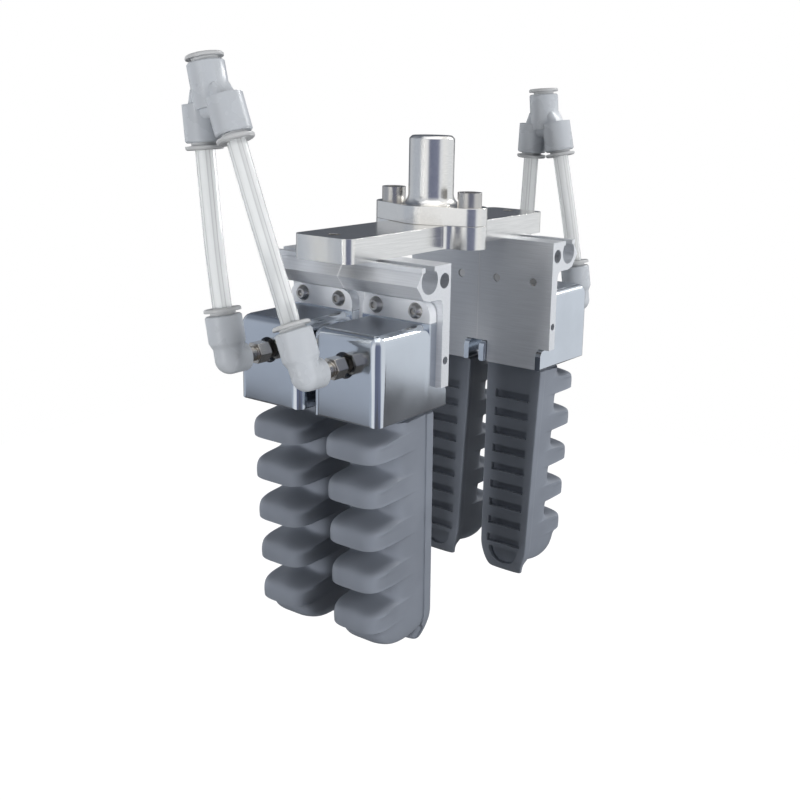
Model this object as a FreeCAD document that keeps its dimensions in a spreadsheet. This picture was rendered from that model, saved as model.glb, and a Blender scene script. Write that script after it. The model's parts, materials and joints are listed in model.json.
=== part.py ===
import FreeCAD
import Part
import Sketcher
import math
import os
import re

# Four-finger soft gripper on a crossbar, driven by air. Millimetres, +Z up. The long way of the
# crossbar is X, the brackets' ends face Y. The origin is on the axis of the shaft, in the middle
# of the length that the robot clamps. Every piece is drawn from the crossbar's top face as height
# 0, as it is on the left (-X) side, and its Placement carries it to its own place.

SIZES = (
    ("shaft_radius", 8.0, "robot shaft"),
    ("shaft_reach", 30.0, "top of the shaft above the crossbar"),
    ("grip_height", 20.0, "middle of the clamped length above the crossbar"),
    ("shaft_blend", 3.5, "fillet between shaft and flange"),
    ("shaft_chamfer", 1.0, "lead-in at the shaft's top"),
    ("flange_thick", 6.3, "flange under the shaft"),
    ("hub_radius", 12.0, "middle of the flange"),
    ("ear_reach", 16.5, "flange screws from the shaft's axis"),
    ("ear_radius", 6.25, "round ears of flange and crossbar"),
    ("ear_blend", 3.5, "hollow between ear and crossbar side"),
    ("flange_screw_radius", 2.5, "M5 socket screws"),
    ("flange_screw_length", 12.0, "under the head"),
    ("flange_head_radius", 4.25, "M5 socket head"),
    ("flange_head_height", 5.0, "M5 socket head"),
    ("flange_socket", 4.0, "across the flats"),
    ("hole_gap", 0.2, "screw in its clearance hole, on the radius"),
    ("thread_gap", 0.05, "screw in its tapped hole, on the radius"),
    ("past", 1.0, "how far a cut reaches past the face that it opens"),
    ("bar_length", 118.0, "crossbar"),
    ("bar_width", 24.0, "crossbar"),
    ("bar_thick", 8.0, "crossbar"),
    ("bar_corner", 3.5, "upright corners of the crossbar"),
    ("end_hole_radius", 2.1, "spare M5 tapped hole near each end"),
    ("end_hole_inset", 7.0, "spare hole from the crossbar's end"),
    ("plate_inner", 32.5, "bracket's inner face from the shaft's axis"),
    ("plate_thick", 4.0, "bracket plate"),
    ("bracket_height", 48.4, "bracket below the crossbar"),
    ("module_width", 32.0, "one bracket along Y"),
    ("bead_axis", 11.4, "middle of the bead's slot from the inner face"),
    ("bead_drop", 4.4, "middle of the bead's slot below the bracket's top"),
    ("bead_reach", 18.1, "bead's outer edge from the inner face"),
    ("bead_edge_drop", 1.2, "bead's outer edge below the slot's middle"),
    ("bead_top_inset", 1.4, "bead's top edge inward of the bore's outer side"),
    ("bead_foot_inset", 1.2, "bead's lower outer corner inward of the bore's outer side"),
    ("bead_foot_rise", 0.8, "that corner above the bead's flat underside"),
    ("bead_wall", 2.2, "metal under the slot's bore"),
    ("slot_radius", 4.3, "bore of the T slot"),
    ("slot_mouth", 4.8, "opening of the T slot"),
    ("slot_lip", 1.6, "lips beside the opening"),
    ("port_radius", 2.5, "screw port beside the bead"),
    ("port_axis", 3.4, "screw port from the inner face"),
    ("port_drop", 5.2, "screw port below the bracket's top"),
    ("bracket_blend", 2.5, "fillet between bead and plate"),
    ("notch_width", 4.7, "notch at each end of a bracket's foot"),
    ("notch_height", 8.2, "notch"),
    ("dowel_radius", 1.3, "blind hole in the plate's end"),
    ("dowel_drop", 31.4, "blind hole below the bracket's top"),
    ("dowel_depth", 6.0, "blind hole"),
    ("clamp_radius", 1.5, "M3 screws in the T slot"),
    ("clamp_head_radius", 2.75, "M3 socket head"),
    ("clamp_head_height", 3.0, "M3 socket head"),
    ("clamp_bite", 5.5, "depth of its tapped hole in the crossbar"),
    ("clamp_end_gap", 0.3, "clamp screw's end to the bottom of its hole"),
    ("clamp_inner", 3.1, "inner clamp screws from the middle line"),
    ("clamp_outer", 8.9, "outer clamp screws from the middle line"),
    ("clamp_socket", 2.5, "across the flats"),
    ("key_hole_radius", 1.8, "holes for the hex key under the bead"),
    ("block_screw_radius", 1.5, "M3 button-head screws"),
    ("block_head_radius", 2.8, "M3 button head"),
    ("block_head_height", 1.65, "M3 button head"),
    ("block_socket", 2.0, "across the flats"),
    ("block_head_crown", 1.1, "how far the button head draws in"),
    ("block_screw_back", 0.5, "screw's end inside the bracket's inner face"),
    ("block_screw_spread", 16.0, "between a block's two screws"),
    ("block_screw_drop", 15.3, "block screws below the bracket's top"),
    ("block_width", 27.4, "finger block along Y"),
    ("block_depth", 29.5, "finger block outward from the plate"),
    ("block_drop", 19.3, "block's flat top below the bracket's top"),
    ("block_foot", 0.4, "block's bottom above the bracket's foot"),
    ("block_round", 2.8, "rounded edges of the block"),
    ("block_foot_round", 0.8, "edges of the block's bottom"),
    ("lug_thick", 3.9, "upright lug that the screws hold"),
    ("lug_drop", 11.9, "lug's top below the bracket's top"),
    ("lug_corner", 4.5, "rounded corners of the lug"),
    ("cheek_reach", 6.1, "cheeks beside the bracket's foot"),
    ("cheek_round", 2.5, "rounded end of a cheek"),
    ("foot_gap", 0.2, "cheeks clear of the bracket's foot"),
    ("port_height", 29.7, "air port below the bracket's top"),
    ("port_hole_radius", 4.2, "air port through the block's front"),
    ("socket_width", 21.0, "room for the finger's root, along Y"),
    ("socket_depth", 21.4, "room for the finger's root, outward"),
    ("socket_height", 24.5, "room for the finger's root"),
    ("socket_wall", 3.6, "block's front wall"),
    ("socket_round", 3.0, "corners of that room"),
    ("root_gap", 0.2, "finger's root in its room"),
    ("root_skin", 2.0, "rubber in front of the insert"),
    ("insert_depth", 13.0, "air insert outward"),
    ("insert_width", 12.0, "air insert along Y"),
    ("insert_height", 16.0, "air insert"),
    ("insert_top", 2.5, "rubber above the insert"),
    ("air_radius", 1.25, "air ways in metal"),
    ("seal_thick", 1.0, "O-ring under the stud"),
    ("seal_radius", 3.6, "O-ring, outside"),
    ("stud_thread_radius", 2.5, "M5 thread of the stud"),
    ("stud_thread_length", 5.0, "M5 thread in the insert"),
    ("stud_thread_spare", 1.5, "tapped hole past the thread's end"),
    ("stud_collar_length", 1.5, "stud's collar on the O-ring"),
    ("stud_neck_radius", 2.75, "stud through the block's port"),
    ("stud_flats", 6.4, "across the stud's hexagon"),
    ("stud_hex_length", 4.8, "stud's hexagon"),
    ("stud_hex_out", 1.8, "hexagon in front of the block"),
    ("stud_hex_root", 1.0, "end of the hexagon that has the spigot's radius inside"),
    ("stud_spigot_radius", 2.4, "stud from the hexagon into the elbow"),
    ("stud_spigot_length", 4.8, "stud inside the elbow"),
    ("spigot_end_gap", 0.2, "spigot's end to the bottom of its bore"),
    ("elbow_out", 17.0, "elbow's upright leg in front of the block"),
    ("elbow_neck_radius", 4.7, "elbow at its corner"),
    ("elbow_leg", 5.6, "end of the elbow's level leg from its upright axis"),
    ("elbow_seat", 5.0, "tube's seat above the stud's axis"),
    ("shoulder_low", 1.6, "lower end of the shoulder below the tube's seat"),
    ("shoulder_high", 0.6, "upper end of the shoulder above the tube's seat"),
    ("cup_radius", 5.75, "fitting round the tube"),
    ("cup_length", 9.0, "from the tube's seat to the fitting's mouth"),
    ("cup_chamfer", 0.5, "edge of the fitting's mouth"),
    ("collar_radius", 5.85, "release collar"),
    ("collar_thick", 1.2, "release collar's ring"),
    ("collar_gap", 1.0, "under the ring, for its travel"),
    ("collar_travel", 0.8, "how far a release collar goes in"),
    ("collar_stop", 0.2, "left under a collar that is pressed in"),
    ("collar_edge", 0.4, "bevel round the ring"),
    ("sleeve_radius", 4.0, "release collar inside the fitting"),
    ("sleeve_start", 1.6, "wide bore above the tube's seat"),
    ("slide_gap", 0.08, "sleeve in its bore and tube in its sleeve"),
    ("tube_radius", 3.0, "6 mm air tube"),
    ("tube_run", 21.0, "first and last run of a tube"),
    ("air_way_radius", 1.9, "air way in plastic"),
    ("union_spread", 10.9, "tube seats of a Y block, apart"),
    ("union_splay", 7.5, "degrees that each leg leans outward"),
    ("union_neck", 5.0, "supply tube's seat above the other two"),
    ("union_web", 8.6, "web between the legs"),
    ("union_web_round", 2.0, "web's edges"),
    ("union_web_low", 3.0, "web's lower end below the two seats"),
    ("union_web_high", 2.0, "web's upper end above the supply's seat"),
    ("union_web_inset", 1.0, "web inside the legs at its lower end"),
    ("union_web_draw", 0.5, "web inside the supply leg at its upper end"),
    ("union_leg_top", 2.5, "legs' blind ends above their seats"),
    ("union_cross", 2.0, "cross way above the seats"),
    ("cross_way_radius", 1.5, "cross way, narrower than the ways that it joins"),
    ("hinge_gap", 0.7, "finger's top below the block"),
    ("palm_inset", 2.1, "palm's face inward of the plate's outer face"),
    ("finger_lean", 2.5, "degrees that a finger leans inward at rest"),
    ("finger_half_width", 12.0, "palm plate's top"),
    ("finger_taper", 1.3, "degrees that each side draws in downward"),
    ("palm_thick", 3.2, "palm plate"),
    ("palm_lip", 0.7, "palm plate beside the finger's body"),
    ("body_depth", 18.0, "finger's body from the palm's face"),
    ("lobe_reach", 31.0, "lobes from the palm's face"),
    ("lobe_pitch", 14.68, "between lobes"),
    ("lobe_first", 8.1, "first lobe's middle below the finger's top"),
    ("lobe_root", 5.2, "half of a lobe where it leaves the body"),
    ("lobe_tip", 4.1, "half of a lobe near its outer end"),
    ("lobe_crown", 1.6, "bevelled edges of the lobes"),
    ("lobe_corner", 5.0, "lobes' corners seen from above"),
    ("valley_round", 1.0, "bottom of the valleys between lobes"),
    ("finger_length", 83.5, "finger below its top"),
    ("tip_round", 11.0, "palm plate's curl at the tip"),
    ("tip_block_radius", 11.5, "round end under the last lobe, about that lobe's middle"),
    ("tip_block_inset", 0.5, "round end inside the lobe's sides"),
    ("rib_width", 15.0, "grooves across the palm"),
    ("rib_height", 2.9, "grooves across the palm"),
    ("rib_depth", 1.3, "grooves across the palm"),
    ("rib_first", 11.8, "first groove's middle below the finger's top"),
    ("tip_dent_radius", 6.5, "half-round dent at the fingertip"),
    ("tip_dent_drop", 74.6, "flat side of the dent below the finger's top"),
    ("tip_dent_depth", 2.6, "dent from the palm's plane"),
    ("wedge_slope", 2.0, "degrees that the finger's top falls outward"),
)
LOBES = 5
GROOVES = 9
# Each arc of a tube's line takes this share of the shorter of its two runs.
ARC_SHARE = 0.45

# Lean of each elbow's upright leg toward the rear, in degrees.
ELBOW_LEAN = {
    ("left", "rear"): 11.0,
    ("left", "front"): 22.5,
    ("right", "rear"): -12.5,
    ("right", "front"): 9.5,
}
# Middle between a Y block's two lower tube seats, as y and height, and its lean toward the rear.
UNION_PLACE = {"left": (21.0, 38.7, 13.5), "right": (3.2, 30.6, 5.2)}

# Heights and distances that several pieces share, in the crossbar's frame on the left side.
PLATE_FACE = "-(plate_inner+plate_thick)"
BLOCK_FRONT = "-(plate_inner+plate_thick+block_depth)"
BLOCK_FOOT = "-bar_thick-bracket_height+block_foot"
PORT_LINE = "-bar_thick-port_height"
ROOT_FRONT = f"{BLOCK_FRONT}+socket_wall+root_gap"
ROOT_TOP = f"{BLOCK_FOOT}+socket_height-root_gap"
INSERT_FRONT = f"{ROOT_FRONT}+root_skin"
INSERT_TOP = f"{ROOT_TOP}-insert_top"
LAST_LOBE = f"(lobe_first+lobe_pitch*{LOBES - 1})"

doc = FreeCAD.newDocument("SoftGripper")
sheet = doc.addObject("Spreadsheet::Sheet", "Sizes")
for row, (alias, value, note) in enumerate(SIZES, start=1):
    sheet.set(f"A{row}", note)
    sheet.set(f"B{row}", str(value))
    sheet.setAlias(f"B{row}", alias)
doc.recompute()

NAMES = [entry[0] for entry in SIZES]
ALIAS = re.compile(r"\b(" + "|".join(NAMES) + r")\b")
Vector = FreeCAD.Vector
UP = Vector(0, 0, 1)
nodes = {}


def bound(text):
    """The expression with each size's name turned into a reference to its cell."""
    return ALIAS.sub(r"Sizes.\1", text)


def number(text):
    """What an expression comes to now, in millimetres or degrees."""
    value = sheet.evalExpression(bound(text))
    return float(getattr(value, "Value", value))


def origin_plane(body, role):
    return next(feature for feature in body.Origin.OriginFeatures if feature.Role == role)


def bind_place(thing, x="0", y="0", z="0", owner="Placement"):
    """Ties a placement's position to expressions."""
    for axis, text in zip("xyz", (x, y, z)):
        thing.setExpression(f"{owner}.Base.{axis}", bound(text))


def new_body(label):
    body = doc.addObject("PartDesign::Body", label)
    body.Label = label
    nodes[label] = body
    return body


def new_sketch(body, name, role, offset="0"):
    """A sketch parallel to one of the body's own planes, offset along that plane's normal."""
    sketch = body.newObject("Sketcher::SketchObject", name)
    sketch.AttachmentSupport = [(origin_plane(body, role), "")]
    sketch.MapMode = "FlatFace"
    sketch.setExpression("AttachmentOffset.Base.z", bound(offset))
    return sketch


def pin_point(sketch, geometry, position, x, y):
    """Ties a point of the sketch to its two coordinates."""
    for kind, text, axis in (("DistanceX", x, -2), ("DistanceY", y, -1)):
        value = number(text)
        if abs(value) < 1e-9:
            sketch.addConstraint(Sketcher.Constraint("PointOnObject", geometry, position, axis))
            continue
        index = sketch.addConstraint(Sketcher.Constraint(kind, -1, 1, geometry, position, value))
        name = f"{kind}_{geometry}_{position}"
        sketch.renameConstraint(index, name)
        sketch.setExpression(f"Constraints.{name}", bound(text))


def polygon(sketch, corners):
    """A closed outline whose corners are pairs of expressions."""
    first = sketch.GeometryCount
    spots = [Vector(number(x), number(y), 0) for x, y in corners]
    count = len(spots)
    for index, spot in enumerate(spots):
        sketch.addGeometry(Part.LineSegment(spot, spots[(index + 1) % count]), False)
    for index in range(count):
        following = first + (index + 1) % count
        sketch.addConstraint(Sketcher.Constraint("Coincident", first + index, 2, following, 1))
    for index, (x, y) in enumerate(corners):
        pin_point(sketch, first + index, 1, x, y)


def rectangle(sketch, x_low, x_high, y_low, y_high):
    polygon(sketch, ((x_low, y_low), (x_high, y_low), (x_high, y_high), (x_low, y_high)))


def circle(sketch, x, y, radius):
    index = sketch.addGeometry(Part.Circle(Vector(number(x), number(y), 0), UP, number(radius)), False)
    pin_point(sketch, index, 3, x, y)
    place = sketch.addConstraint(Sketcher.Constraint("Radius", index, number(radius)))
    sketch.renameConstraint(place, f"Radius_{index}")
    sketch.setExpression(f"Constraints.Radius_{index}", bound(radius))


def extrude(body, kind, sketch, length, reverse=False, symmetric=False):
    feature = body.newObject(f"PartDesign::{kind}", f"{kind}_{sketch.Name}")
    feature.Profile = sketch
    feature.setExpression("Length", bound(length))
    feature.Reversed = reverse
    if symmetric:
        feature.SideType = "Symmetric"
    return feature


def pad(body, sketch, length, reverse=False, symmetric=False):
    return extrude(body, "Pad", sketch, length, reverse, symmetric)


def pocket(body, sketch, length, reverse=False, symmetric=False):
    """A cut that has to take material away."""
    doc.recompute()
    before = body.Shape.Volume
    feature = extrude(body, "Pocket", sketch, length, reverse, symmetric)
    doc.recompute()
    if not body.Shape.Volume < before:
        raise RuntimeError(f"{body.Label}: {sketch.Name} cuts nothing")
    return feature


def rounded(body, kind, name, radius, wanted):
    """Fillet or chamfer on the edges whose middle and ends answer to wanted."""
    doc.recompute()
    base = body.Tip
    edges = []
    for index, edge in enumerate(base.Shape.Edges, start=1):
        low, high = edge.ParameterRange
        spots = [edge.valueAt(low), edge.valueAt((low + high) / 2), edge.valueAt(high)]
        if wanted(*spots):
            edges.append(f"Edge{index}")
    if not edges:
        raise RuntimeError(f"{body.Label}: no edge for {name}")
    feature = body.newObject(f"PartDesign::{kind}", name)
    feature.Base = (base, edges)
    feature.setExpression("Radius" if kind == "Fillet" else "Size", bound(radius))
    doc.recompute()
    return feature


def near(a, b, within=0.02):
    return abs(a - b) < within


def upright(a, b):
    return near(a.x, b.x) and near(a.y, b.y)


def level(a, b, height):
    return near(a.z, height) and near(b.z, height)


def revolve(body, kind, sketch, axis="Z_Axis", own_axis=""):
    """Turns a sketch about one of the body's axes, or about an axis of the sketch itself."""
    doc.recompute()
    before = body.Shape.Volume if body.Tip else 0
    feature = body.newObject(f"PartDesign::{kind}", f"{kind}_{sketch.Name}")
    feature.Profile = sketch
    if own_axis:
        feature.ReferenceAxis = (sketch, [own_axis])
    else:
        feature.ReferenceAxis = (origin_plane(body, axis), [""])
    feature.Angle = 360
    doc.recompute()
    if kind == "Groove" and not body.Shape.Volume < before:
        raise RuntimeError(f"{body.Label}: {sketch.Name} cuts nothing")
    return feature


def pattern(body, feature, axis, length, count, name, reverse=False):
    """Copies a feature along an axis of the body; length is from the first to the last."""
    doc.recompute()
    copies = body.newObject("PartDesign::LinearPattern", name)
    copies.Originals = [feature]
    copies.Direction = (origin_plane(body, axis), [""])
    copies.Reversed = reverse
    copies.setExpression("Length", bound(length))
    copies.Occurrences = count
    body.Tip = copies
    doc.recompute()
    return copies


def tool(kind, name, x="0", y="0", z="0", **sizes):
    """A Part primitive with bound sizes."""
    thing = doc.addObject(f"Part::{kind}", name)
    for key, text in sizes.items():
        thing.setExpression(key, bound(text))
    bind_place(thing, x, y, z)
    return thing


def socket_screw(name, radius, length, head_radius, head_height, flats, crown="0"):
    """A screw along +Z whose head sits on height 0 and whose shank points down."""
    head = tool("Cone", f"{name}_head", Radius1=head_radius, Radius2=f"{head_radius}-{crown}",
                Height=head_height)
    shank = tool("Cylinder", f"{name}_shank", z=f"-({length})", Radius=radius, Height=length)
    screw = doc.addObject("Part::Fuse", f"{name}_blank")
    screw.Base, screw.Tool = head, shank
    hexagon = tool("Prism", f"{name}_hex", z=f"({head_height})*0.45", Circumradius=f"({flats})/2/cos(30)",
                   Height=head_height)
    hexagon.Polygon = 6
    cut = doc.addObject("Part::Cut", name)
    cut.Base, cut.Tool = screw, hexagon
    return cut


def group(label, pieces):
    """One node of several separate solids."""
    compound = doc.addObject("Part::Compound", label)
    compound.Label = label
    compound.Links = pieces
    nodes[label] = compound
    return compound


def robot_shaft():
    body = new_body("robot_shaft")
    hub = new_sketch(body, "hub", "XY_Plane")
    circle(hub, "0", "0", "hub_radius")
    pad(body, hub, "flange_thick")
    # The tangent lines from the hub to an ear leave both circles at this slope.
    side = "sqrt(1-((hub_radius-ear_radius)/ear_reach)^2)"
    rise = "((hub_radius-ear_radius)/ear_reach)"
    web = new_sketch(body, "web", "XY_Plane")
    polygon(web, (
        (f"-hub_radius*{side}", f"-hub_radius*{rise}"),
        (f"-ear_radius*{side}", f"-ear_reach-ear_radius*{rise}"),
        (f"ear_radius*{side}", f"-ear_reach-ear_radius*{rise}"),
        (f"hub_radius*{side}", f"-hub_radius*{rise}"),
        (f"hub_radius*{side}", f"hub_radius*{rise}"),
        (f"ear_radius*{side}", f"ear_reach+ear_radius*{rise}"),
        (f"-ear_radius*{side}", f"ear_reach+ear_radius*{rise}"),
        (f"-hub_radius*{side}", f"hub_radius*{rise}")))
    pad(body, web, "flange_thick")
    ears = new_sketch(body, "ears", "XY_Plane")
    circle(ears, "0", "ear_reach", "ear_radius")
    circle(ears, "0", "-ear_reach", "ear_radius")
    pad(body, ears, "flange_thick")
    shaft = new_sketch(body, "shaft", "XY_Plane")
    circle(shaft, "0", "0", "shaft_radius")
    pad(body, shaft, "shaft_reach")
    top, foot = number("shaft_reach"), number("flange_thick")
    rounded(body, "Chamfer", "lead_in", "shaft_chamfer", lambda a, m, b: level(a, m, top))
    radius = number("shaft_radius")
    rounded(body, "Fillet", "shaft_root", "shaft_blend",
            lambda a, m, b: level(a, m, foot) and near(math.hypot(m.x, m.y), radius))
    holes = new_sketch(body, "holes", "XY_Plane")
    circle(holes, "0", "ear_reach", "flange_screw_radius+hole_gap")
    circle(holes, "0", "-ear_reach", "flange_screw_radius+hole_gap")
    pocket(body, holes, "flange_thick", reverse=True)
    bind_place(body, z="-grip_height")


def flange_screws():
    pieces = []
    for name, y in (("rear", "ear_reach"), ("front", "-ear_reach")):
        screw = socket_screw(f"flange_screw_{name}", "flange_screw_radius", "flange_screw_length",
                             "flange_head_radius", "flange_head_height", "flange_socket")
        bind_place(screw, y=y, z="flange_thick")
        pieces.append(screw)
    bind_place(group("flange_screws", pieces), z="-grip_height")


def crossbar():
    body = new_body("crossbar")
    outline = new_sketch(body, "outline", "XY_Plane")
    rectangle(outline, "-bar_length/2", "bar_length/2", "-bar_width/2", "bar_width/2")
    pad(body, outline, "bar_thick", reverse=True)
    necks = new_sketch(body, "necks", "XY_Plane")
    rectangle(necks, "-ear_radius", "ear_radius", "-ear_reach", "ear_reach")
    pad(body, necks, "bar_thick", reverse=True)
    ears = new_sketch(body, "bar_ears", "XY_Plane")
    circle(ears, "0", "ear_reach", "ear_radius")
    circle(ears, "0", "-ear_reach", "ear_radius")
    pad(body, ears, "bar_thick", reverse=True)
    end, side, ear = number("bar_length/2"), number("bar_width/2"), number("ear_radius")
    rounded(body, "Fillet", "bar_corners", "bar_corner",
            lambda a, m, b: upright(a, b) and near(abs(m.x), end) and near(abs(m.y), side))
    rounded(body, "Fillet", "ear_hollows", "ear_blend",
            lambda a, m, b: upright(a, b) and near(abs(m.x), ear) and near(abs(m.y), side))
    through = new_sketch(body, "through_holes", "XY_Plane")
    for sign in ("", "-"):
        circle(through, "0", f"{sign}ear_reach", "flange_screw_radius+thread_gap")
        circle(through, f"{sign}(bar_length/2-end_hole_inset)", "0", "end_hole_radius")
    pocket(body, through, "bar_thick")
    blind = new_sketch(body, "clamp_holes", "XY_Plane", "-bar_thick")
    for x in ("(plate_inner+bead_axis)", "-(plate_inner+bead_axis)"):
        for y in ("clamp_inner", "-clamp_inner", "clamp_outer", "-clamp_outer"):
            circle(blind, x, y, "clamp_radius+thread_gap")
    pocket(body, blind, "clamp_bite", reverse=True)
    bind_place(body, z="-grip_height")


def side_turn(side):
    return FreeCAD.Rotation(UP, 0 if side == "left" else 180)


def turned(body, side, y="0"):
    """Puts a piece drawn for the left side on its own side, at its place along the bracket."""
    body.Placement = FreeCAD.Placement(Vector(0, 0, 0), side_turn(side))
    bind_place(body, y=y, z="-grip_height")


def module_middle(row):
    return "module_width/2" if row == "rear" else "-module_width/2"


def bracket(side, row):
    """One length of the extruded bracket: plate, bead with a T slot, screw port and foot."""
    body = new_body(f"bracket_{side}_{row}")
    top = "-bar_thick"
    outer = "-(plate_inner+plate_thick)"
    axis = "-(plate_inner+bead_axis)"
    middle = "-bar_thick-bead_drop"
    foot = "-bar_thick-bracket_height"
    under = f"{middle}-slot_radius-bead_wall"
    profile = new_sketch(body, "profile", "XZ_Plane")
    polygon(profile, (
        ("-plate_inner", top),
        (f"{axis}-slot_radius+bead_top_inset", top),
        ("-(plate_inner+bead_reach)", f"{middle}-bead_edge_drop"),
        (f"{axis}-slot_radius+bead_foot_inset", f"{under}+bead_foot_rise"),
        (f"{axis}", under),
        (outer, under),
        (outer, foot),
        ("-plate_inner", foot)))
    pad(body, profile, "module_width", symmetric=True)
    corner, low = number(outer), number(under)
    rounded(body, "Fillet", "bead_root", "bracket_blend",
            lambda a, m, b: near(m.x, corner) and near(m.z, low))
    bore = new_sketch(body, "bore", "XZ_Plane")
    circle(bore, axis, middle, "slot_radius")
    pocket(body, bore, "module_width", symmetric=True)
    # The lips close the bore's top again, flat inside, and the mouth opens between them.
    lips = new_sketch(body, "lips", "XZ_Plane")
    rectangle(lips, f"{axis}-slot_radius", f"{axis}+slot_radius", f"{top}-slot_lip", top)
    pad(body, lips, "module_width", symmetric=True)
    mouth = new_sketch(body, "mouth", "XZ_Plane")
    rectangle(mouth, f"{axis}-slot_mouth/2", f"{axis}+slot_mouth/2", f"{top}-slot_lip-past", f"{top}+past")
    pocket(body, mouth, "module_width", symmetric=True)
    port = new_sketch(body, "screw_port", "XZ_Plane")
    circle(port, "-(plate_inner+port_axis)", "-bar_thick-port_drop", "port_radius")
    pocket(body, port, "module_width", symmetric=True)
    notches = new_sketch(body, "notches", "YZ_Plane", "-plate_inner")
    for low_y, high_y in (("-module_width/2-past", "-module_width/2+notch_width"),
                          ("module_width/2-notch_width", "module_width/2+past")):
        rectangle(notches, low_y, high_y, f"{foot}-past", f"{foot}+notch_height")
    pocket(body, notches, "plate_thick")
    holes = new_sketch(body, "block_screw_holes", "YZ_Plane", "-plate_inner")
    for sign in ("", "-"):
        circle(holes, f"{sign}block_screw_spread/2", "-bar_thick-block_screw_drop",
               "block_screw_radius+thread_gap")
    pocket(body, holes, "plate_thick")
    # The bracket's outer end is at +Y in its own frame for two of the four.
    outer_end_up = (side == "left") == (row == "rear")
    keys = new_sketch(body, "key_holes", "XY_Plane", f"{under}-past")
    for place in ("clamp_inner", "clamp_outer"):
        inward = f"({place}-module_width/2)"
        circle(keys, axis, inward if outer_end_up else f"-{inward}", "key_hole_radius")
    pocket(body, keys, "bead_wall+slot_radius", reverse=True)
    end = "-module_width/2" if outer_end_up else "module_width/2"
    dowel = new_sketch(body, "dowel_hole", "XZ_Plane", end)
    circle(dowel, "-(plate_inner+plate_thick/2)", "-bar_thick-dowel_drop", "dowel_radius")
    pocket(body, dowel, "dowel_depth", reverse=outer_end_up)
    turned(body, side, module_middle(row))


def clamp_screws(side):
    """Screws that pull the bracket's lips against the crossbar, heads inside the bead."""
    pieces = []
    for place in ("clamp_inner", "clamp_outer"):
        for row, sign in (("rear", ""), ("front", "-")):
            name = f"{place}_{side}_{row}"
            screw = socket_screw(name, "clamp_radius", "clamp_bite+slot_lip-clamp_end_gap",
                                 "clamp_head_radius", "clamp_head_height", "clamp_socket")
            screw.Placement = FreeCAD.Placement(Vector(0, 0, 0), FreeCAD.Rotation(Vector(1, 0, 0), 180))
            bind_place(screw, "-(plate_inner+bead_axis)", f"{sign}{place}", "-bar_thick-slot_lip")
            pieces.append(screw)
    turned(group(f"clamp_screws_{side}", pieces), side)


def block_screws(side, row):
    pieces = []
    for name, sign in (("a", ""), ("b", "-")):
        screw = socket_screw(f"block_screw_{side}_{row}_{name}", "block_screw_radius",
                             "lug_thick+plate_thick-block_screw_back", "block_head_radius",
                             "block_head_height", "block_socket", "block_head_crown")
        screw.Placement = FreeCAD.Placement(Vector(0, 0, 0), FreeCAD.Rotation(Vector(0, 1, 0), -90))
        bind_place(screw, "-(plate_inner+plate_thick+lug_thick)", f"{sign}block_screw_spread/2",
                   "-bar_thick-block_screw_drop")
        pieces.append(screw)
    turned(group(f"block_screws_{side}_{row}", pieces), side, module_middle(row))


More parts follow.
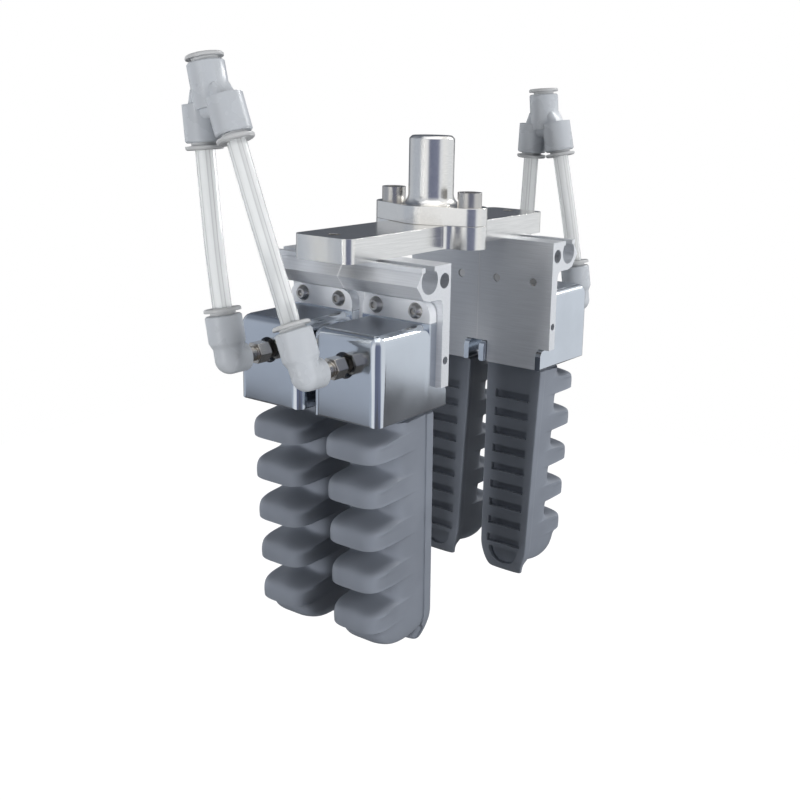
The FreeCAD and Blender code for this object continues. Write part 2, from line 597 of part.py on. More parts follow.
def finger_block(side, row):
    """The block that holds a finger's root: lug for the screws, air port, cheeks at the foot."""
    body = new_body(f"finger_block_{side}_{row}")
    top = "-bar_thick-block_drop"
    lug_top = "-bar_thick-lug_drop"
    lug_face = f"{PLATE_FACE}-lug_thick"
    profile = new_sketch(body, "block_profile", "XZ_Plane")
    polygon(profile, (
        (PLATE_FACE, BLOCK_FOOT),
        (PLATE_FACE, lug_top),
        (lug_face, lug_top),
        (lug_face, top),
        (BLOCK_FRONT, top),
        (BLOCK_FRONT, BLOCK_FOOT)))
    pad(body, profile, "block_width", symmetric=True)
    half, front, lug = number("block_width/2"), number(BLOCK_FRONT), number(lug_face)
    high, crest, low = number(top), number(lug_top), number(BLOCK_FOOT)
    rounded(body, "Fillet", "lug_corners", "lug_corner",
            lambda a, m, b: level(a, b, crest) and near(abs(m.y), half))
    rounded(body, "Fillet", "block_edges", "block_round",
            lambda a, m, b: (near(m.x, front) and near(abs(m.y), half))
            or (level(a, b, high) and not near(m.x, lug)))
    cheek_top = "-bar_thick-bracket_height+notch_height-foot_gap"
    cheeks = new_sketch(body, "cheeks", "XZ_Plane")
    rectangle(cheeks, f"{PLATE_FACE}-lug_thick/2", f"{PLATE_FACE}+cheek_reach", BLOCK_FOOT, cheek_top)
    pad(body, cheeks, "block_width", symmetric=True)
    rear, ridge = number(f"{PLATE_FACE}+cheek_reach"), number(cheek_top)
    rounded(body, "Fillet", "cheek_ends", "cheek_round",
            lambda a, m, b: near(m.x, rear) and level(a, b, ridge))
    between = new_sketch(body, "between_cheeks", "XZ_Plane")
    rectangle(between, PLATE_FACE, f"{PLATE_FACE}+cheek_reach+past", f"{BLOCK_FOOT}-past",
              f"{cheek_top}+past")
    pocket(body, between, "module_width-2*notch_width+2*foot_gap", symmetric=True)
    room = new_sketch(body, "root_room", "XY_Plane", BLOCK_FOOT)
    rectangle(room, f"{BLOCK_FRONT}+socket_wall", f"{BLOCK_FRONT}+socket_wall+socket_depth",
              "-socket_width/2", "socket_width/2")
    pocket(body, room, "socket_height", reverse=True)
    wall, side_wall = number(f"{BLOCK_FRONT}+socket_wall"), number("socket_width/2")
    inner = number(f"{BLOCK_FRONT}+socket_wall+socket_depth")
    rounded(body, "Fillet", "room_corners", "socket_round",
            lambda a, m, b: upright(a, b) and near(abs(m.y), side_wall)
            and (near(m.x, wall) or near(m.x, inner)))
    port = new_sketch(body, "air_port", "YZ_Plane", BLOCK_FRONT)
    circle(port, "0", PORT_LINE, "port_hole_radius")
    pocket(body, port, "socket_wall", reverse=True)
    holes = new_sketch(body, "lug_holes", "YZ_Plane", PLATE_FACE)
    for sign in ("", "-"):
        circle(holes, f"{sign}block_screw_spread/2", "-bar_thick-block_screw_drop",
               "block_screw_radius+hole_gap")
    pocket(body, holes, "lug_thick")
    rounded(body, "Fillet", "foot_edges", "block_foot_round",
            lambda a, m, b: level(a, b, low) and near(m.x, front) and not near(a.y, b.y))
    turned(body, side, module_middle(row))


def root_insert(side, row):
    """Metal insert inside the rubber root, tapped for the stud, with a way down for the air."""
    body = new_body(f"root_insert_{side}_{row}")
    outline = new_sketch(body, "insert_outline", "XZ_Plane")
    rectangle(outline, INSERT_FRONT, f"{INSERT_FRONT}+insert_depth", f"{INSERT_TOP}-insert_height",
              INSERT_TOP)
    pad(body, outline, "insert_width", symmetric=True)
    tapped = new_sketch(body, "tapped_hole", "YZ_Plane", INSERT_FRONT)
    circle(tapped, "0", PORT_LINE, "stud_thread_radius+thread_gap")
    pocket(body, tapped, "stud_thread_length+stud_thread_spare", reverse=True)
    down = new_sketch(body, "way_down", "XY_Plane", f"{INSERT_TOP}-insert_height")
    circle(down, f"{INSERT_FRONT}+stud_thread_length", "0", "air_radius")
    pocket(body, down, f"{PORT_LINE}-({INSERT_TOP}-insert_height)", reverse=True)
    turned(body, side, module_middle(row))


def finger_root(side, row):
    """The finger's rubber root, moulded round the insert and held in the block's room."""
    body = new_body(f"finger_root_{side}_{row}")
    outline = new_sketch(body, "root_outline", "XZ_Plane")
    rectangle(outline, ROOT_FRONT, f"{ROOT_FRONT}+socket_depth-2*root_gap", BLOCK_FOOT, ROOT_TOP)
    pad(body, outline, "socket_width-2*root_gap", symmetric=True)
    half = number("socket_width/2-root_gap")
    rounded(body, "Fillet", "root_corners", "socket_round-root_gap",
            lambda a, m, b: upright(a, b) and near(abs(m.y), half))
    room = new_sketch(body, "insert_room", "XZ_Plane")
    rectangle(room, INSERT_FRONT, f"{INSERT_FRONT}+insert_depth", f"{INSERT_TOP}-insert_height",
              INSERT_TOP)
    pocket(body, room, "insert_width", symmetric=True)
    port = new_sketch(body, "stud_way", "YZ_Plane", ROOT_FRONT)
    circle(port, "0", PORT_LINE, "port_hole_radius")
    pocket(body, port, "root_skin", reverse=True)
    down = new_sketch(body, "root_way", "XY_Plane", BLOCK_FOOT)
    circle(down, f"{INSERT_FRONT}+stud_thread_length", "0", "air_radius")
    pocket(body, down, f"{INSERT_TOP}-insert_height-({BLOCK_FOOT})", reverse=True)
    turned(body, side, module_middle(row))


def port_seal(side, row):
    """O-ring between the insert's face and the stud's collar."""
    ring = doc.addObject("Part::Torus", f"port_seal_{side}_{row}")
    ring.Label = ring.Name
    ring.setExpression("Radius1", bound("seal_radius-seal_thick/2"))
    ring.setExpression("Radius2", bound("seal_thick/2"))
    ring.Placement = FreeCAD.Placement(Vector(0, 0, 0), FreeCAD.Rotation(Vector(0, 1, 0), 90))
    sign = "" if side == "left" else "-1*"
    bind_place(ring, f"{sign}({INSERT_FRONT}-seal_thick/2)", module_middle(row),
               f"{PORT_LINE}-grip_height")
    nodes[ring.Label] = ring


def fitting_stud(side, row):
    """Turned stud along its own X axis: thread, collar, neck, hexagon and the elbow's spigot."""
    body = new_body(f"fitting_stud_{side}_{row}")
    seat = f"{INSERT_FRONT}-seal_thick"
    hexagon_start = f"{BLOCK_FRONT}-stud_hex_out"
    hexagon_end = f"{hexagon_start}-stud_hex_length"
    spigot_end = f"{BLOCK_FRONT}-elbow_out+elbow_leg-stud_spigot_length"
    profile = new_sketch(body, "turned_profile", "XZ_Plane")
    polygon(profile, (
        (f"{INSERT_FRONT}+stud_thread_length", "air_radius"),
        (f"{INSERT_FRONT}+stud_thread_length", "stud_thread_radius"),
        (seat, "stud_thread_radius"),
        (seat, "seal_radius"),
        (f"{seat}-stud_collar_length", "seal_radius"),
        (f"{seat}-stud_collar_length", "stud_neck_radius"),
        (f"{hexagon_end}+stud_hex_root", "stud_neck_radius"),
        (f"{hexagon_end}+stud_hex_root", "stud_spigot_radius"),
        (spigot_end, "stud_spigot_radius"),
        (spigot_end, "air_radius")))
    revolve(body, "Revolution", profile, "X_Axis")
    hexagon = new_sketch(body, "hexagon", "YZ_Plane", hexagon_start)
    reach = "stud_flats/2/cos(30)"
    polygon(hexagon, [(f"{reach}*cos({60 * turn})", f"{reach}*sin({60 * turn})") for turn in range(6)])
    circle(hexagon, "0", "0", "(air_radius+stud_neck_radius)/2")
    pad(body, hexagon, "stud_hex_length", reverse=True)
    body.Placement = FreeCAD.Placement(Vector(0, 0, 0), side_turn(side))
    bind_place(body, y=module_middle(row), z=f"{PORT_LINE}-grip_height")


def leaning(lean):
    """Turn that leans +Z toward +Y by so many degrees."""
    return FreeCAD.Rotation(Vector(1, 0, 0), -lean)


def elbow_x(side):
    sign = "-" if side == "left" else ""
    return f"{sign}(plate_inner+plate_thick+block_depth+elbow_out)"


def elbow_body(side, row):
    """Push-in elbow, drawn round the crossing of its two legs: one along +X, one along +Z."""
    body = new_body(f"elbow_body_{side}_{row}")
    level_leg = new_sketch(body, "level_leg", "YZ_Plane")
    circle(level_leg, "0", "0", "elbow_neck_radius")
    pad(body, level_leg, "elbow_leg")
    upright_leg = new_sketch(body, "upright_leg", "XZ_Plane")
    polygon(upright_leg, (
        ("0", "0"),
        ("elbow_neck_radius", "0"),
        ("elbow_neck_radius", "elbow_seat-shoulder_low"),
        ("cup_radius", "elbow_seat+shoulder_high"),
        ("cup_radius", "elbow_seat+cup_length"),
        ("0", "elbow_seat+cup_length")))
    revolve(body, "Revolution", upright_leg)
    knuckle = body.newObject("PartDesign::AdditiveSphere", "knuckle")
    knuckle.setExpression("Radius", bound("elbow_neck_radius"))
    mouth = number("elbow_seat+cup_length")
    rounded(body, "Chamfer", "mouth_edge", "cup_chamfer",
            lambda a, m, b: level(a, m, mouth) and near(math.hypot(m.x, m.y), number("cup_radius")))
    bore = new_sketch(body, "tube_bore", "XZ_Plane")
    polygon(bore, cup_bore("elbow_seat", "0"))
    revolve(body, "Groove", bore)
    spigot = new_sketch(body, "spigot_bore", "YZ_Plane", "elbow_leg")
    circle(spigot, "0", "0", "stud_spigot_radius+slide_gap")
    pocket(body, spigot, "stud_spigot_length+spigot_end_gap")
    way = new_sketch(body, "level_way", "YZ_Plane")
    circle(way, "0", "0", "air_way_radius")
    pocket(body, way, "elbow_leg", reverse=True)
    turn = side_turn(side).multiply(leaning(lean_here(side, row)))
    body.Placement = FreeCAD.Placement(Vector(0, 0, 0), turn)
    bind_place(body, elbow_x(side), module_middle(row), f"{PORT_LINE}-grip_height")


def lean_here(side, row):
    """The elbow's lean in its own frame, which is turned half round on the right."""
    return ELBOW_LEAN[side, row] if side == "left" else -ELBOW_LEAN[side, row]


def cup_bore(seat, start, sign=""):
    """Half section of a fitting's bore: air way, tube's seat and the release collar's bore."""
    return (
        ("0", start),
        ("air_way_radius", start),
        ("air_way_radius", f"{sign}({seat})"),
        ("tube_radius+slide_gap", f"{sign}({seat})"),
        ("tube_radius+slide_gap", f"{sign}({seat}+sleeve_start)"),
        ("sleeve_radius+slide_gap", f"{sign}({seat}+sleeve_start)"),
        ("sleeve_radius+slide_gap", f"{sign}({seat}+cup_length+past)"),
        ("0", f"{sign}({seat}+cup_length+past)"))


def release_collar(label, x, y, z, lean):
    """Ring and sleeve that let the tube go when pressed in; its origin is the tube's seat."""
    body = new_body(label)
    profile = new_sketch(body, "collar_profile", "XZ_Plane")
    inner = "tube_radius+slide_gap"
    start = "sleeve_start+collar_travel+collar_stop"
    ring_end = "cup_length+collar_gap+collar_thick"
    polygon(profile, (
        (inner, start),
        ("sleeve_radius", start),
        ("sleeve_radius", "cup_length+collar_gap"),
        ("collar_radius", "cup_length+collar_gap"),
        ("collar_radius", f"{ring_end}-collar_edge"),
        ("collar_radius-collar_edge", ring_end),
        (inner, ring_end)))
    revolve(body, "Revolution", profile)
    body.Placement = FreeCAD.Placement(Vector(0, 0, 0), leaning(lean))
    bind_place(body, x, y, z)


def elbow_seat_place(side, row):
    """The tube's seat in an elbow, as expressions for y and z, in the part's frame."""
    lean = ELBOW_LEAN[side, row]
    y = f"{module_middle(row)}+elbow_seat*sin({lean})"
    z = f"{PORT_LINE}+elbow_seat*cos({lean})-grip_height"
    return y, z


def union_seat_place(side, leg):
    """The seat and outward lean of a Y block's port, in the part's frame."""
    y, z, lean = UNION_PLACE[side]
    if leg == "supply":
        return f"{y}+union_neck*sin({lean})", f"{z}+union_neck*cos({lean})-grip_height", lean
    sign = 1 if leg == "rear" else -1
    out = f"{sign}*union_spread/2"
    outward = 180 + lean - sign * number("union_splay")
    return f"{y}+{out}*cos({lean})", f"{z}-({out})*sin({lean})-grip_height", outward


def y_union(side):
    """Y block: two splayed legs for the fingers' tubes and one port above for the supply."""
    body = new_body(f"y_union_{side}")
    web = new_sketch(body, "web_outline", "YZ_Plane")
    low_half = "(union_spread/2+cup_radius-union_web_inset)"
    high_half = "(cup_radius-union_web_draw)"
    polygon(web, (
        (f"-{low_half}", "-union_web_low"),
        (low_half, "-union_web_low"),
        (high_half, "union_neck+union_web_high"),
        (f"-{high_half}", "union_neck+union_web_high")))
    pad(body, web, "union_web", symmetric=True)
    rounded(body, "Fillet", "web_edges", "union_web_round", lambda a, m, b: near(a.x, b.x))
    legs = (("supply", "0", 0.0, ""), ("rear", "union_spread/2", 1.0, "-"),
            ("front", "-union_spread/2", -1.0, "-"))
    for leg, y, splay, sign in legs:
        seat = "union_neck" if leg == "supply" else "0"
        blank = leg_sketch(body, f"{leg}_leg", y, splay)
        foot = "0" if leg == "supply" else "union_leg_top"
        end = f"{sign}({seat}+cup_length)"
        soft_end = f"{sign}({seat}+cup_length-cup_chamfer)"
        polygon(blank, (("0", foot), ("cup_radius", foot), ("cup_radius", soft_end),
                        ("cup_radius-cup_chamfer", end), ("0", end)))
        revolve(body, "Revolution", blank, own_axis="V_Axis")
    for leg, y, splay, sign in legs:
        seat = "union_neck" if leg == "supply" else "0"
        bore = leg_sketch(body, f"{leg}_bore", y, splay)
        polygon(bore, cup_bore(seat, "union_cross", sign))
        revolve(body, "Groove", bore, own_axis="V_Axis")
    cross = new_sketch(body, "cross_way", "XZ_Plane")
    circle(cross, "0", "union_cross", "cross_way_radius")
    pocket(body, cross, "union_spread", symmetric=True)
    y, z, lean = UNION_PLACE[side]
    body.Placement = FreeCAD.Placement(Vector(0, 0, 0), leaning(lean))
    bind_place(body, elbow_x(side), f"{y}", f"{z}-grip_height")


def leg_sketch(body, name, y, splay):
    """A sketch in the Y block's plane whose upright axis is a leg's axis."""
    sketch = new_sketch(body, name, "YZ_Plane")
    turn = FreeCAD.Rotation(UP, splay * number("union_splay"))
    sketch.AttachmentOffset = FreeCAD.Placement(Vector(0, 0, 0), turn)
    sketch.setExpression("AttachmentOffset.Base.x", bound(y))
    return sketch


def air_tube(side, row):
    """6 mm tube from the elbow's seat to the Y block's: straight runs joined by tangent arcs."""
    x = number(elbow_x(side))
    spots = []
    run = number("tube_run")
    low_y, low_z = (number(text) for text in elbow_seat_place(side, row))
    high_y, high_z, outward = union_seat_place(side, row)
    for y, z, lean in ((low_y, low_z, ELBOW_LEAN[side, row]), (number(high_y), number(high_z), outward)):
        aim = Vector(0, math.sin(math.radians(lean)), math.cos(math.radians(lean)))
        spots.append((Vector(x, y, z), Vector(x, y, z) + aim * run))
    route = [spots[0][0], spots[0][1], spots[1][1], spots[1][0]]
    wire, length, radii = rounded_route(route)
    mouth = Part.Wire(Part.Circle(route[0], route[1] - route[0], number("tube_radius")).toShape())
    solid = wire.makePipeShell([mouth], True, False)
    label = f"air_tube_{side}_{row}"
    tube = doc.addObject("Part::Feature", label)
    tube.Label = label
    tube.Shape = solid
    nodes[label] = tube
    expected = math.pi * number("tube_radius") ** 2 * length
    if abs(solid.Volume / expected - 1) > 0.001:
        raise RuntimeError(f"{label}: volume {solid.Volume} where {expected} was expected")
    print(label, "length", round(length, 1), "radii", [round(radius) for radius in radii], "points",
          [(round(spot.y, 2), round(spot.z, 2)) for spot in route])


def rounded_route(route):
    """A wire along the route, its length and the radii of its arcs."""
    edges = []
    radii = []
    start = route[0]
    for before, corner, after in zip(route, route[1:], route[2:]):
        incoming = (corner - before).normalize()
        outgoing = (after - corner).normalize()
        turn = incoming.getAngle(outgoing)
        reach = ARC_SHARE * min((corner - before).Length, (after - corner).Length)
        radii.append(reach / math.tan(turn / 2))
        arc_start = corner - incoming * reach
        arc_end = corner + outgoing * reach
        bisector = (outgoing - incoming).normalize()
        depth = radii[-1] * (1 / math.cos(turn / 2) - 1)
        edges.append(Part.LineSegment(start, arc_start).toShape())
        edges.append(Part.Arc(arc_start, corner + bisector * depth, arc_end).toShape())
        start = arc_end
    edges.append(Part.LineSegment(start, route[-1]).toShape())
    return Part.Wire(edges), sum(edge.Length for edge in edges), radii


def soft_finger(side, row):
    """The bending part of a finger: palm plate, five lobes and the tip, from its top down."""
    body = new_body(f"soft_finger_{side}_{row}")
    foot = "-finger_length"
    plan = new_sketch(body, "plan", "XY_Plane")
    rectangle(plan, "-lobe_reach", "0", "-finger_half_width", "finger_half_width")
    pad(body, plan, "finger_length", reverse=True)
    for name, start, half in (("palm_sides", "0", "finger_half_width"),
                              ("body_sides", "-palm_thick", "(finger_half_width-palm_lip)")):
        sides = new_sketch(body, name, "YZ_Plane", start)
        low_half = f"({half}-finger_length*tan(finger_taper))"
        for sign in ("", "-"):
            polygon(sides, (
                (f"{sign}{half}", "past"),
                (f"{sign}(finger_half_width+past)", "past"),
                (f"{sign}(finger_half_width+past)", f"{foot}-past"),
                (f"{sign}{low_half}", f"{foot}-past")))
        pocket(body, sides, "lobe_reach+past")
    outer = number("-lobe_reach")
    rounded(body, "Fillet", "lobe_corners", "lobe_corner",
            lambda a, m, b: near(a.x, outer) and near(b.x, outer) and abs(a.z - b.z) > 20)
    rounded(body, "Fillet", "tip_pad", "tip_round",
            lambda a, m, b: near(m.x, 0) and level(a, b, number(foot)))
    # Above the first lobe the body stands alone, and below the last one the tip begins.
    root, tip, crown = "lobe_root", "lobe_tip", "lobe_crown"
    slot_top = "-lobe_first"
    across = "2*(finger_half_width+past)"
    shoulder = new_sketch(body, "shoulder", "XZ_Plane")
    polygon(shoulder, (
        ("-body_depth", "past"),
        ("-body_depth", f"{slot_top}+{root}"),
        (f"-lobe_reach+{crown}", f"{slot_top}+{tip}"),
        ("-lobe_reach-past", f"{slot_top}+{tip}-{crown}-past"),
        ("-lobe_reach-past", "past")))
    pocket(body, shoulder, across, symmetric=True)
    top = new_sketch(body, "slanting_top", "XZ_Plane")
    polygon(top, (("0", "0"), ("-body_depth-past", "-(body_depth+past)*tan(wedge_slope)"),
                  ("-body_depth-past", "past"), ("0", "past")))
    pocket(body, top, across, symmetric=True)
    valley = new_sketch(body, "valley", "XZ_Plane")
    polygon(valley, (
        ("-body_depth", f"{slot_top}-{root}"),
        (f"-lobe_reach+{crown}", f"{slot_top}-{tip}"),
        ("-lobe_reach-past", f"{slot_top}-{tip}+{crown}+past"),
        ("-lobe_reach-past", f"{slot_top}-lobe_pitch+{tip}-{crown}-past"),
        (f"-lobe_reach+{crown}", f"{slot_top}-lobe_pitch+{tip}"),
        ("-body_depth", f"{slot_top}-lobe_pitch+{root}")))
    cut = pocket(body, valley, across, symmetric=True)
    pattern(body, cut, "Z_Axis", f"lobe_pitch*{LOBES - 2}", LOBES - 1, "valleys", reverse=True)
    floor = number("-body_depth")
    rounded(body, "Fillet", "valley_floors", "valley_round",
            lambda a, m, b: near(a.x, floor) and near(b.x, floor) and near(a.z, b.z)
            and abs(a.y - b.y) > number("lobe_reach-body_depth")
            and -number(LAST_LOBE) < a.z < -number("lobe_first"))
    finger_tip(body, foot, across)
    groove = new_sketch(body, "palm_groove", "YZ_Plane")
    rectangle(groove, "-rib_width/2", "rib_width/2", "-rib_first-rib_height/2", "-rib_first+rib_height/2")
    cut = pocket(body, groove, "rib_depth")
    pattern(body, cut, "Z_Axis", f"lobe_pitch/2*{GROOVES - 1}", GROOVES, "palm_grooves", reverse=True)
    dent = new_sketch(body, "tip_dent", "YZ_Plane")
    half_disc(dent, "0", "-tip_dent_drop", "tip_dent_radius")
    pocket(body, dent, "tip_dent_depth")
    lean = FreeCAD.Rotation(Vector(0, 1, 0), -number("finger_lean"))
    body.Placement = FreeCAD.Placement(Vector(0, 0, 0), side_turn(side).multiply(lean))
    sign = "" if side == "left" else "-1*"
    bind_place(body, f"{sign}({PLATE_FACE}+palm_inset)", module_middle(row),
               f"{BLOCK_FOOT}-hinge_gap-grip_height")


def finger_tip(body, foot, across):
    """Below the last lobe: a round end, and under it the palm plate's curl that stands free."""
    block_end = f"-{LAST_LOBE}-tip_block_radius"
    back = new_sketch(body, "tip_back", "XZ_Plane")
    polygon(back, (
        ("-lobe_reach-past", f"-{LAST_LOBE}-lobe_tip+lobe_crown+past"),
        ("-lobe_reach+lobe_crown", f"-{LAST_LOBE}-lobe_tip"),
        ("-body_depth", f"-{LAST_LOBE}-lobe_tip"),
        ("-body_depth", block_end),
        ("-tip_round/2", block_end),
        ("-tip_round", f"{foot}+palm_thick"),
        ("-tip_round", f"{foot}-past"),
        ("-lobe_reach-past", f"{foot}-past")))
    pocket(body, back, across, symmetric=True)
    end = new_sketch(body, "round_end", "XZ_Plane")
    half_disc(end, "-body_depth", f"-{LAST_LOBE}", "tip_block_radius")
    low_half = f"(finger_half_width-palm_lip-({LAST_LOBE}+tip_block_radius)*tan(finger_taper))"
    pad(body, end, f"2*({low_half}-tip_block_inset)", symmetric=True)


def half_disc(sketch, x, y, radius):
    """The lower half of a disc whose flat side lies on height y."""
    size, across, height = number(radius), number(x), number(y)
    middle = Vector(across, height, 0)
    arc = Part.ArcOfCircle(Part.Circle(middle, UP, size), math.pi, 2 * math.pi)
    sketch.addGeometry(arc, False)
    ends = Vector(across - size, height, 0), Vector(across + size, height, 0)
    sketch.addGeometry(Part.LineSegment(*ends), False)
    sketch.addConstraint(Sketcher.Constraint("Coincident", 0, 1, 1, 1))
    sketch.addConstraint(Sketcher.Constraint("Coincident", 0, 2, 1, 2))
    sketch.addConstraint(Sketcher.Constraint("PointOnObject", 0, 3, 1))
    sketch.addConstraint(Sketcher.Constraint("Horizontal", 1))
    pin_point(sketch, 0, 3, x, y)
    index = sketch.addConstraint(Sketcher.Constraint("Radius", 0, size))
    sketch.renameConstraint(index, "Radius_disc")
    sketch.setExpression("Constraints.Radius_disc", bound(radius))


def main():
    robot_shaft()
    flange_screws()
    crossbar()
    for side in ("left", "right"):
        clamp_screws(side)
        y_union(side)
        for leg in ("rear", "front", "supply"):
            y, z, outward = union_seat_place(side, leg)
            release_collar(f"union_collar_{side}_{leg}", elbow_x(side), y, z, outward)
        for row in ("front", "rear"):
            bracket(side, row)
            finger_block(side, row)
            block_screws(side, row)
            root_insert(side, row)
            finger_root(side, row)
            soft_finger(side, row)
            port_seal(side, row)
            fitting_stud(side, row)
            elbow_body(side, row)
            y, z = elbow_seat_place(side, row)
            release_collar(f"release_collar_{side}_{row}", elbow_x(side), y, z, ELBOW_LEAN[side, row])
            air_tube(side, row)
    doc.recompute()
    export()


def export():
    """Checks every object, then writes one file for each node."""
    broken = [thing.Name for thing in doc.Objects if "Invalid" in thing.State or "Error" in thing.State]
    if broken:
        raise RuntimeError(f"failed objects: {broken}")
    for label, node in nodes.items():
        if node.Shape.isNull() or not node.Shape.isValid():
            raise RuntimeError(f"{label}: no valid shape")
    os.makedirs("parts", exist_ok=True)
    for label, node in nodes.items():
        node.Shape.exportStep(f"parts/{label}.step")
        box = node.Shape.BoundBox
        print(f"{label:28s} {node.Shape.Volume:9.1f} {len(node.Shape.Solids)}  "
              f"x {box.XMin:7.2f} {box.XMax:7.2f}  y {box.YMin:7.2f} {box.YMax:7.2f}  "
              f"z {box.ZMin:7.2f} {box.ZMax:7.2f}")
    print(len(nodes), "nodes")


main()
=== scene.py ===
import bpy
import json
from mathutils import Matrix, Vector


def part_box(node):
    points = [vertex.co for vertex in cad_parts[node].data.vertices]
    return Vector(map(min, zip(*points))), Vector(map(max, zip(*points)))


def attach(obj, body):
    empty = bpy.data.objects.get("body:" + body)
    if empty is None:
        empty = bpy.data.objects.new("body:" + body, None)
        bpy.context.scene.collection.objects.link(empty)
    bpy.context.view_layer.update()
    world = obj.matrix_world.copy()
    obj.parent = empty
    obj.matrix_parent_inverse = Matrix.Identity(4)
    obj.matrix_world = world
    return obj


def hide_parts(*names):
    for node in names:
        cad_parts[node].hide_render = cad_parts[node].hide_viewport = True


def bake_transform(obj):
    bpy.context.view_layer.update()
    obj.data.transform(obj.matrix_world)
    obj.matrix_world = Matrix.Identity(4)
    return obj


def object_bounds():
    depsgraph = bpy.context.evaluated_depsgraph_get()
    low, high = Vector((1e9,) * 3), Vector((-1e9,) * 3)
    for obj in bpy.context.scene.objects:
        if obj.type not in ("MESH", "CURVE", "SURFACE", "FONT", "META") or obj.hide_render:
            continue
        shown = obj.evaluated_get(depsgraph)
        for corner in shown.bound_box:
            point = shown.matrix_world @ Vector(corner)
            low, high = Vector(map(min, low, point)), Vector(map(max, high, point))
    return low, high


bl_info = {
    "name": "Four-finger soft gripper",
    "version": (1, 0, 0),
    "blender": (4, 5, 0),
    "location": "View3D > Sidebar > Gripper",
    "description": "Dresses a soft gripper: silicone fingers, metal frame, push-in fittings, air tubes",
    "category": "Object",
}

import json
import math
import bmesh
import bpy
from bpy.props import FloatProperty, FloatVectorProperty, IntProperty, PointerProperty
from mathutils import Matrix, Vector

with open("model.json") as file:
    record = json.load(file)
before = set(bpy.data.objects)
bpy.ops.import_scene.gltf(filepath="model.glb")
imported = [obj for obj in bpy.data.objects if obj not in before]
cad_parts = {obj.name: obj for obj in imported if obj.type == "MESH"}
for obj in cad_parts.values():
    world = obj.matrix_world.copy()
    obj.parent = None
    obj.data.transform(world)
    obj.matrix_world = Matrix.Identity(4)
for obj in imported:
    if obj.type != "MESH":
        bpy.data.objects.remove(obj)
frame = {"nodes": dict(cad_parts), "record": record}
CAD_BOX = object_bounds()
MM = 0.001
SIDES = ("left", "right")
ROWS = ("front", "rear")
CORNERS = [(side, row) for side in SIDES for row in ROWS]

# Half of the pale line painted where two bracket lengths meet, a painted highlight, in metres.
SEAM_HALF_WIDTH = 0.00018
# Bevels of the bar, shaft and blocks, of small metal parts, of flange screws and studs, of moulded
# bodies, of release collars and of O-rings, in metres.
BROAD_BEVEL = 0.0003
FINE_BEVEL = 0.0002
HEAD_BEVEL = 0.00025
MOULDED_BEVEL = 0.0004
COLLAR_BEVEL = 0.00015
SEAL_BEVEL = 0.0001
# CAD points closer together than this are joined, in metres.
WELD = 0.000002
# CAD faces that turn by less than this are made one, in degrees.
FLAT_ANGLE = 0.6
# Edges that turn by more than this get a bevel, on CAD pieces and on the finger, in degrees.
BEVEL_ANGLE = 32.0
CRISP_ANGLE = 42.0
# The finger's edges that turn by more than this stay sharp in shading, in degrees.
SHARP_ANGLE = 38.0

# The box that fills a block's inner edges: its gap to the bracket, its room below the block's top and
# how far out it reaches, in metres.
FILLER_GAP = 0.00004
FILLER_BELOW_TOP = 0.0002
FILLER_DEPTH = 0.006
# The rounded form that cuts a block's outer edges: how far it runs past the block's back and foot,
# and round the lug, in metres.
FORM_PAST = 0.012
LUG_PAST = 0.003

# In the finger's cage: the point beside each palm edge and the row under the top, which keep them
# crisp, and the room below the top that the first lobe leaves at its side and in its middle, in metres.
PALM_HOLD = 0.0009
TOP_HOLD = 0.0007
SIDE_ROOM = 0.002
MIDDLE_ROOM = 0.0019
# The finger's root: its rounding, and the neck that joins it to the finger's body, in metres.
ROOT_ROUND = 0.0015
NECK_HALF_WIDTH = 0.0094
NECK_BELOW_ROOT = 0.0045
NECK_INTO_ROOT = 0.004
NECK_SETBACK = 0.0008
NECK_INTO_BODY = 0.002
ROOT_VOXEL = 0.0005
# How far a cutter stands out of the palm, in metres.
CUTTER_PAST = 0.002

# The tubes, in metres: their diameter, and the plane of their fittings from the shaft's axis.
TUBE_DIAMETER = 0.006
TUBE_PLANE = 0.083
# Control points of each tube's line in the plane of its two fittings, as (y, z) in millimetres.
TUBE_POINTS = {
    ("left", "rear"): ((16.95, -52.79), (20.96, -32.18), (24.10, -3.46), (26.30, 17.43)),
    ("left", "front"): ((-14.09, -53.08), (-6.05, -33.68), (8.17, 0.37), (15.70, 19.97)),
    ("right", "rear"): ((14.92, -52.82), (10.37, -32.32), (9.47, -10.88), (8.63, 10.11)),
    ("right", "front"): ((-15.17, -52.77), (-11.71, -32.06), (-6.84, -9.39), (-2.23, 11.09)),
}


def length(name, default, text):
    """A length that the user can set."""
    return FloatProperty(name=name, default=default, description=text, subtype="DISTANCE", unit="LENGTH")


def angle(name, degrees, text):
    """An angle that the user can set."""
    return FloatProperty(name=name, default=math.radians(degrees), description=text,
                         subtype="ANGLE", unit="ROTATION")


def colour(name, default, text):
    """A colour that the user can set."""
    return FloatVectorProperty(name=name, default=default, description=text,
                               subtype="COLOR", size=3, min=0, max=1)


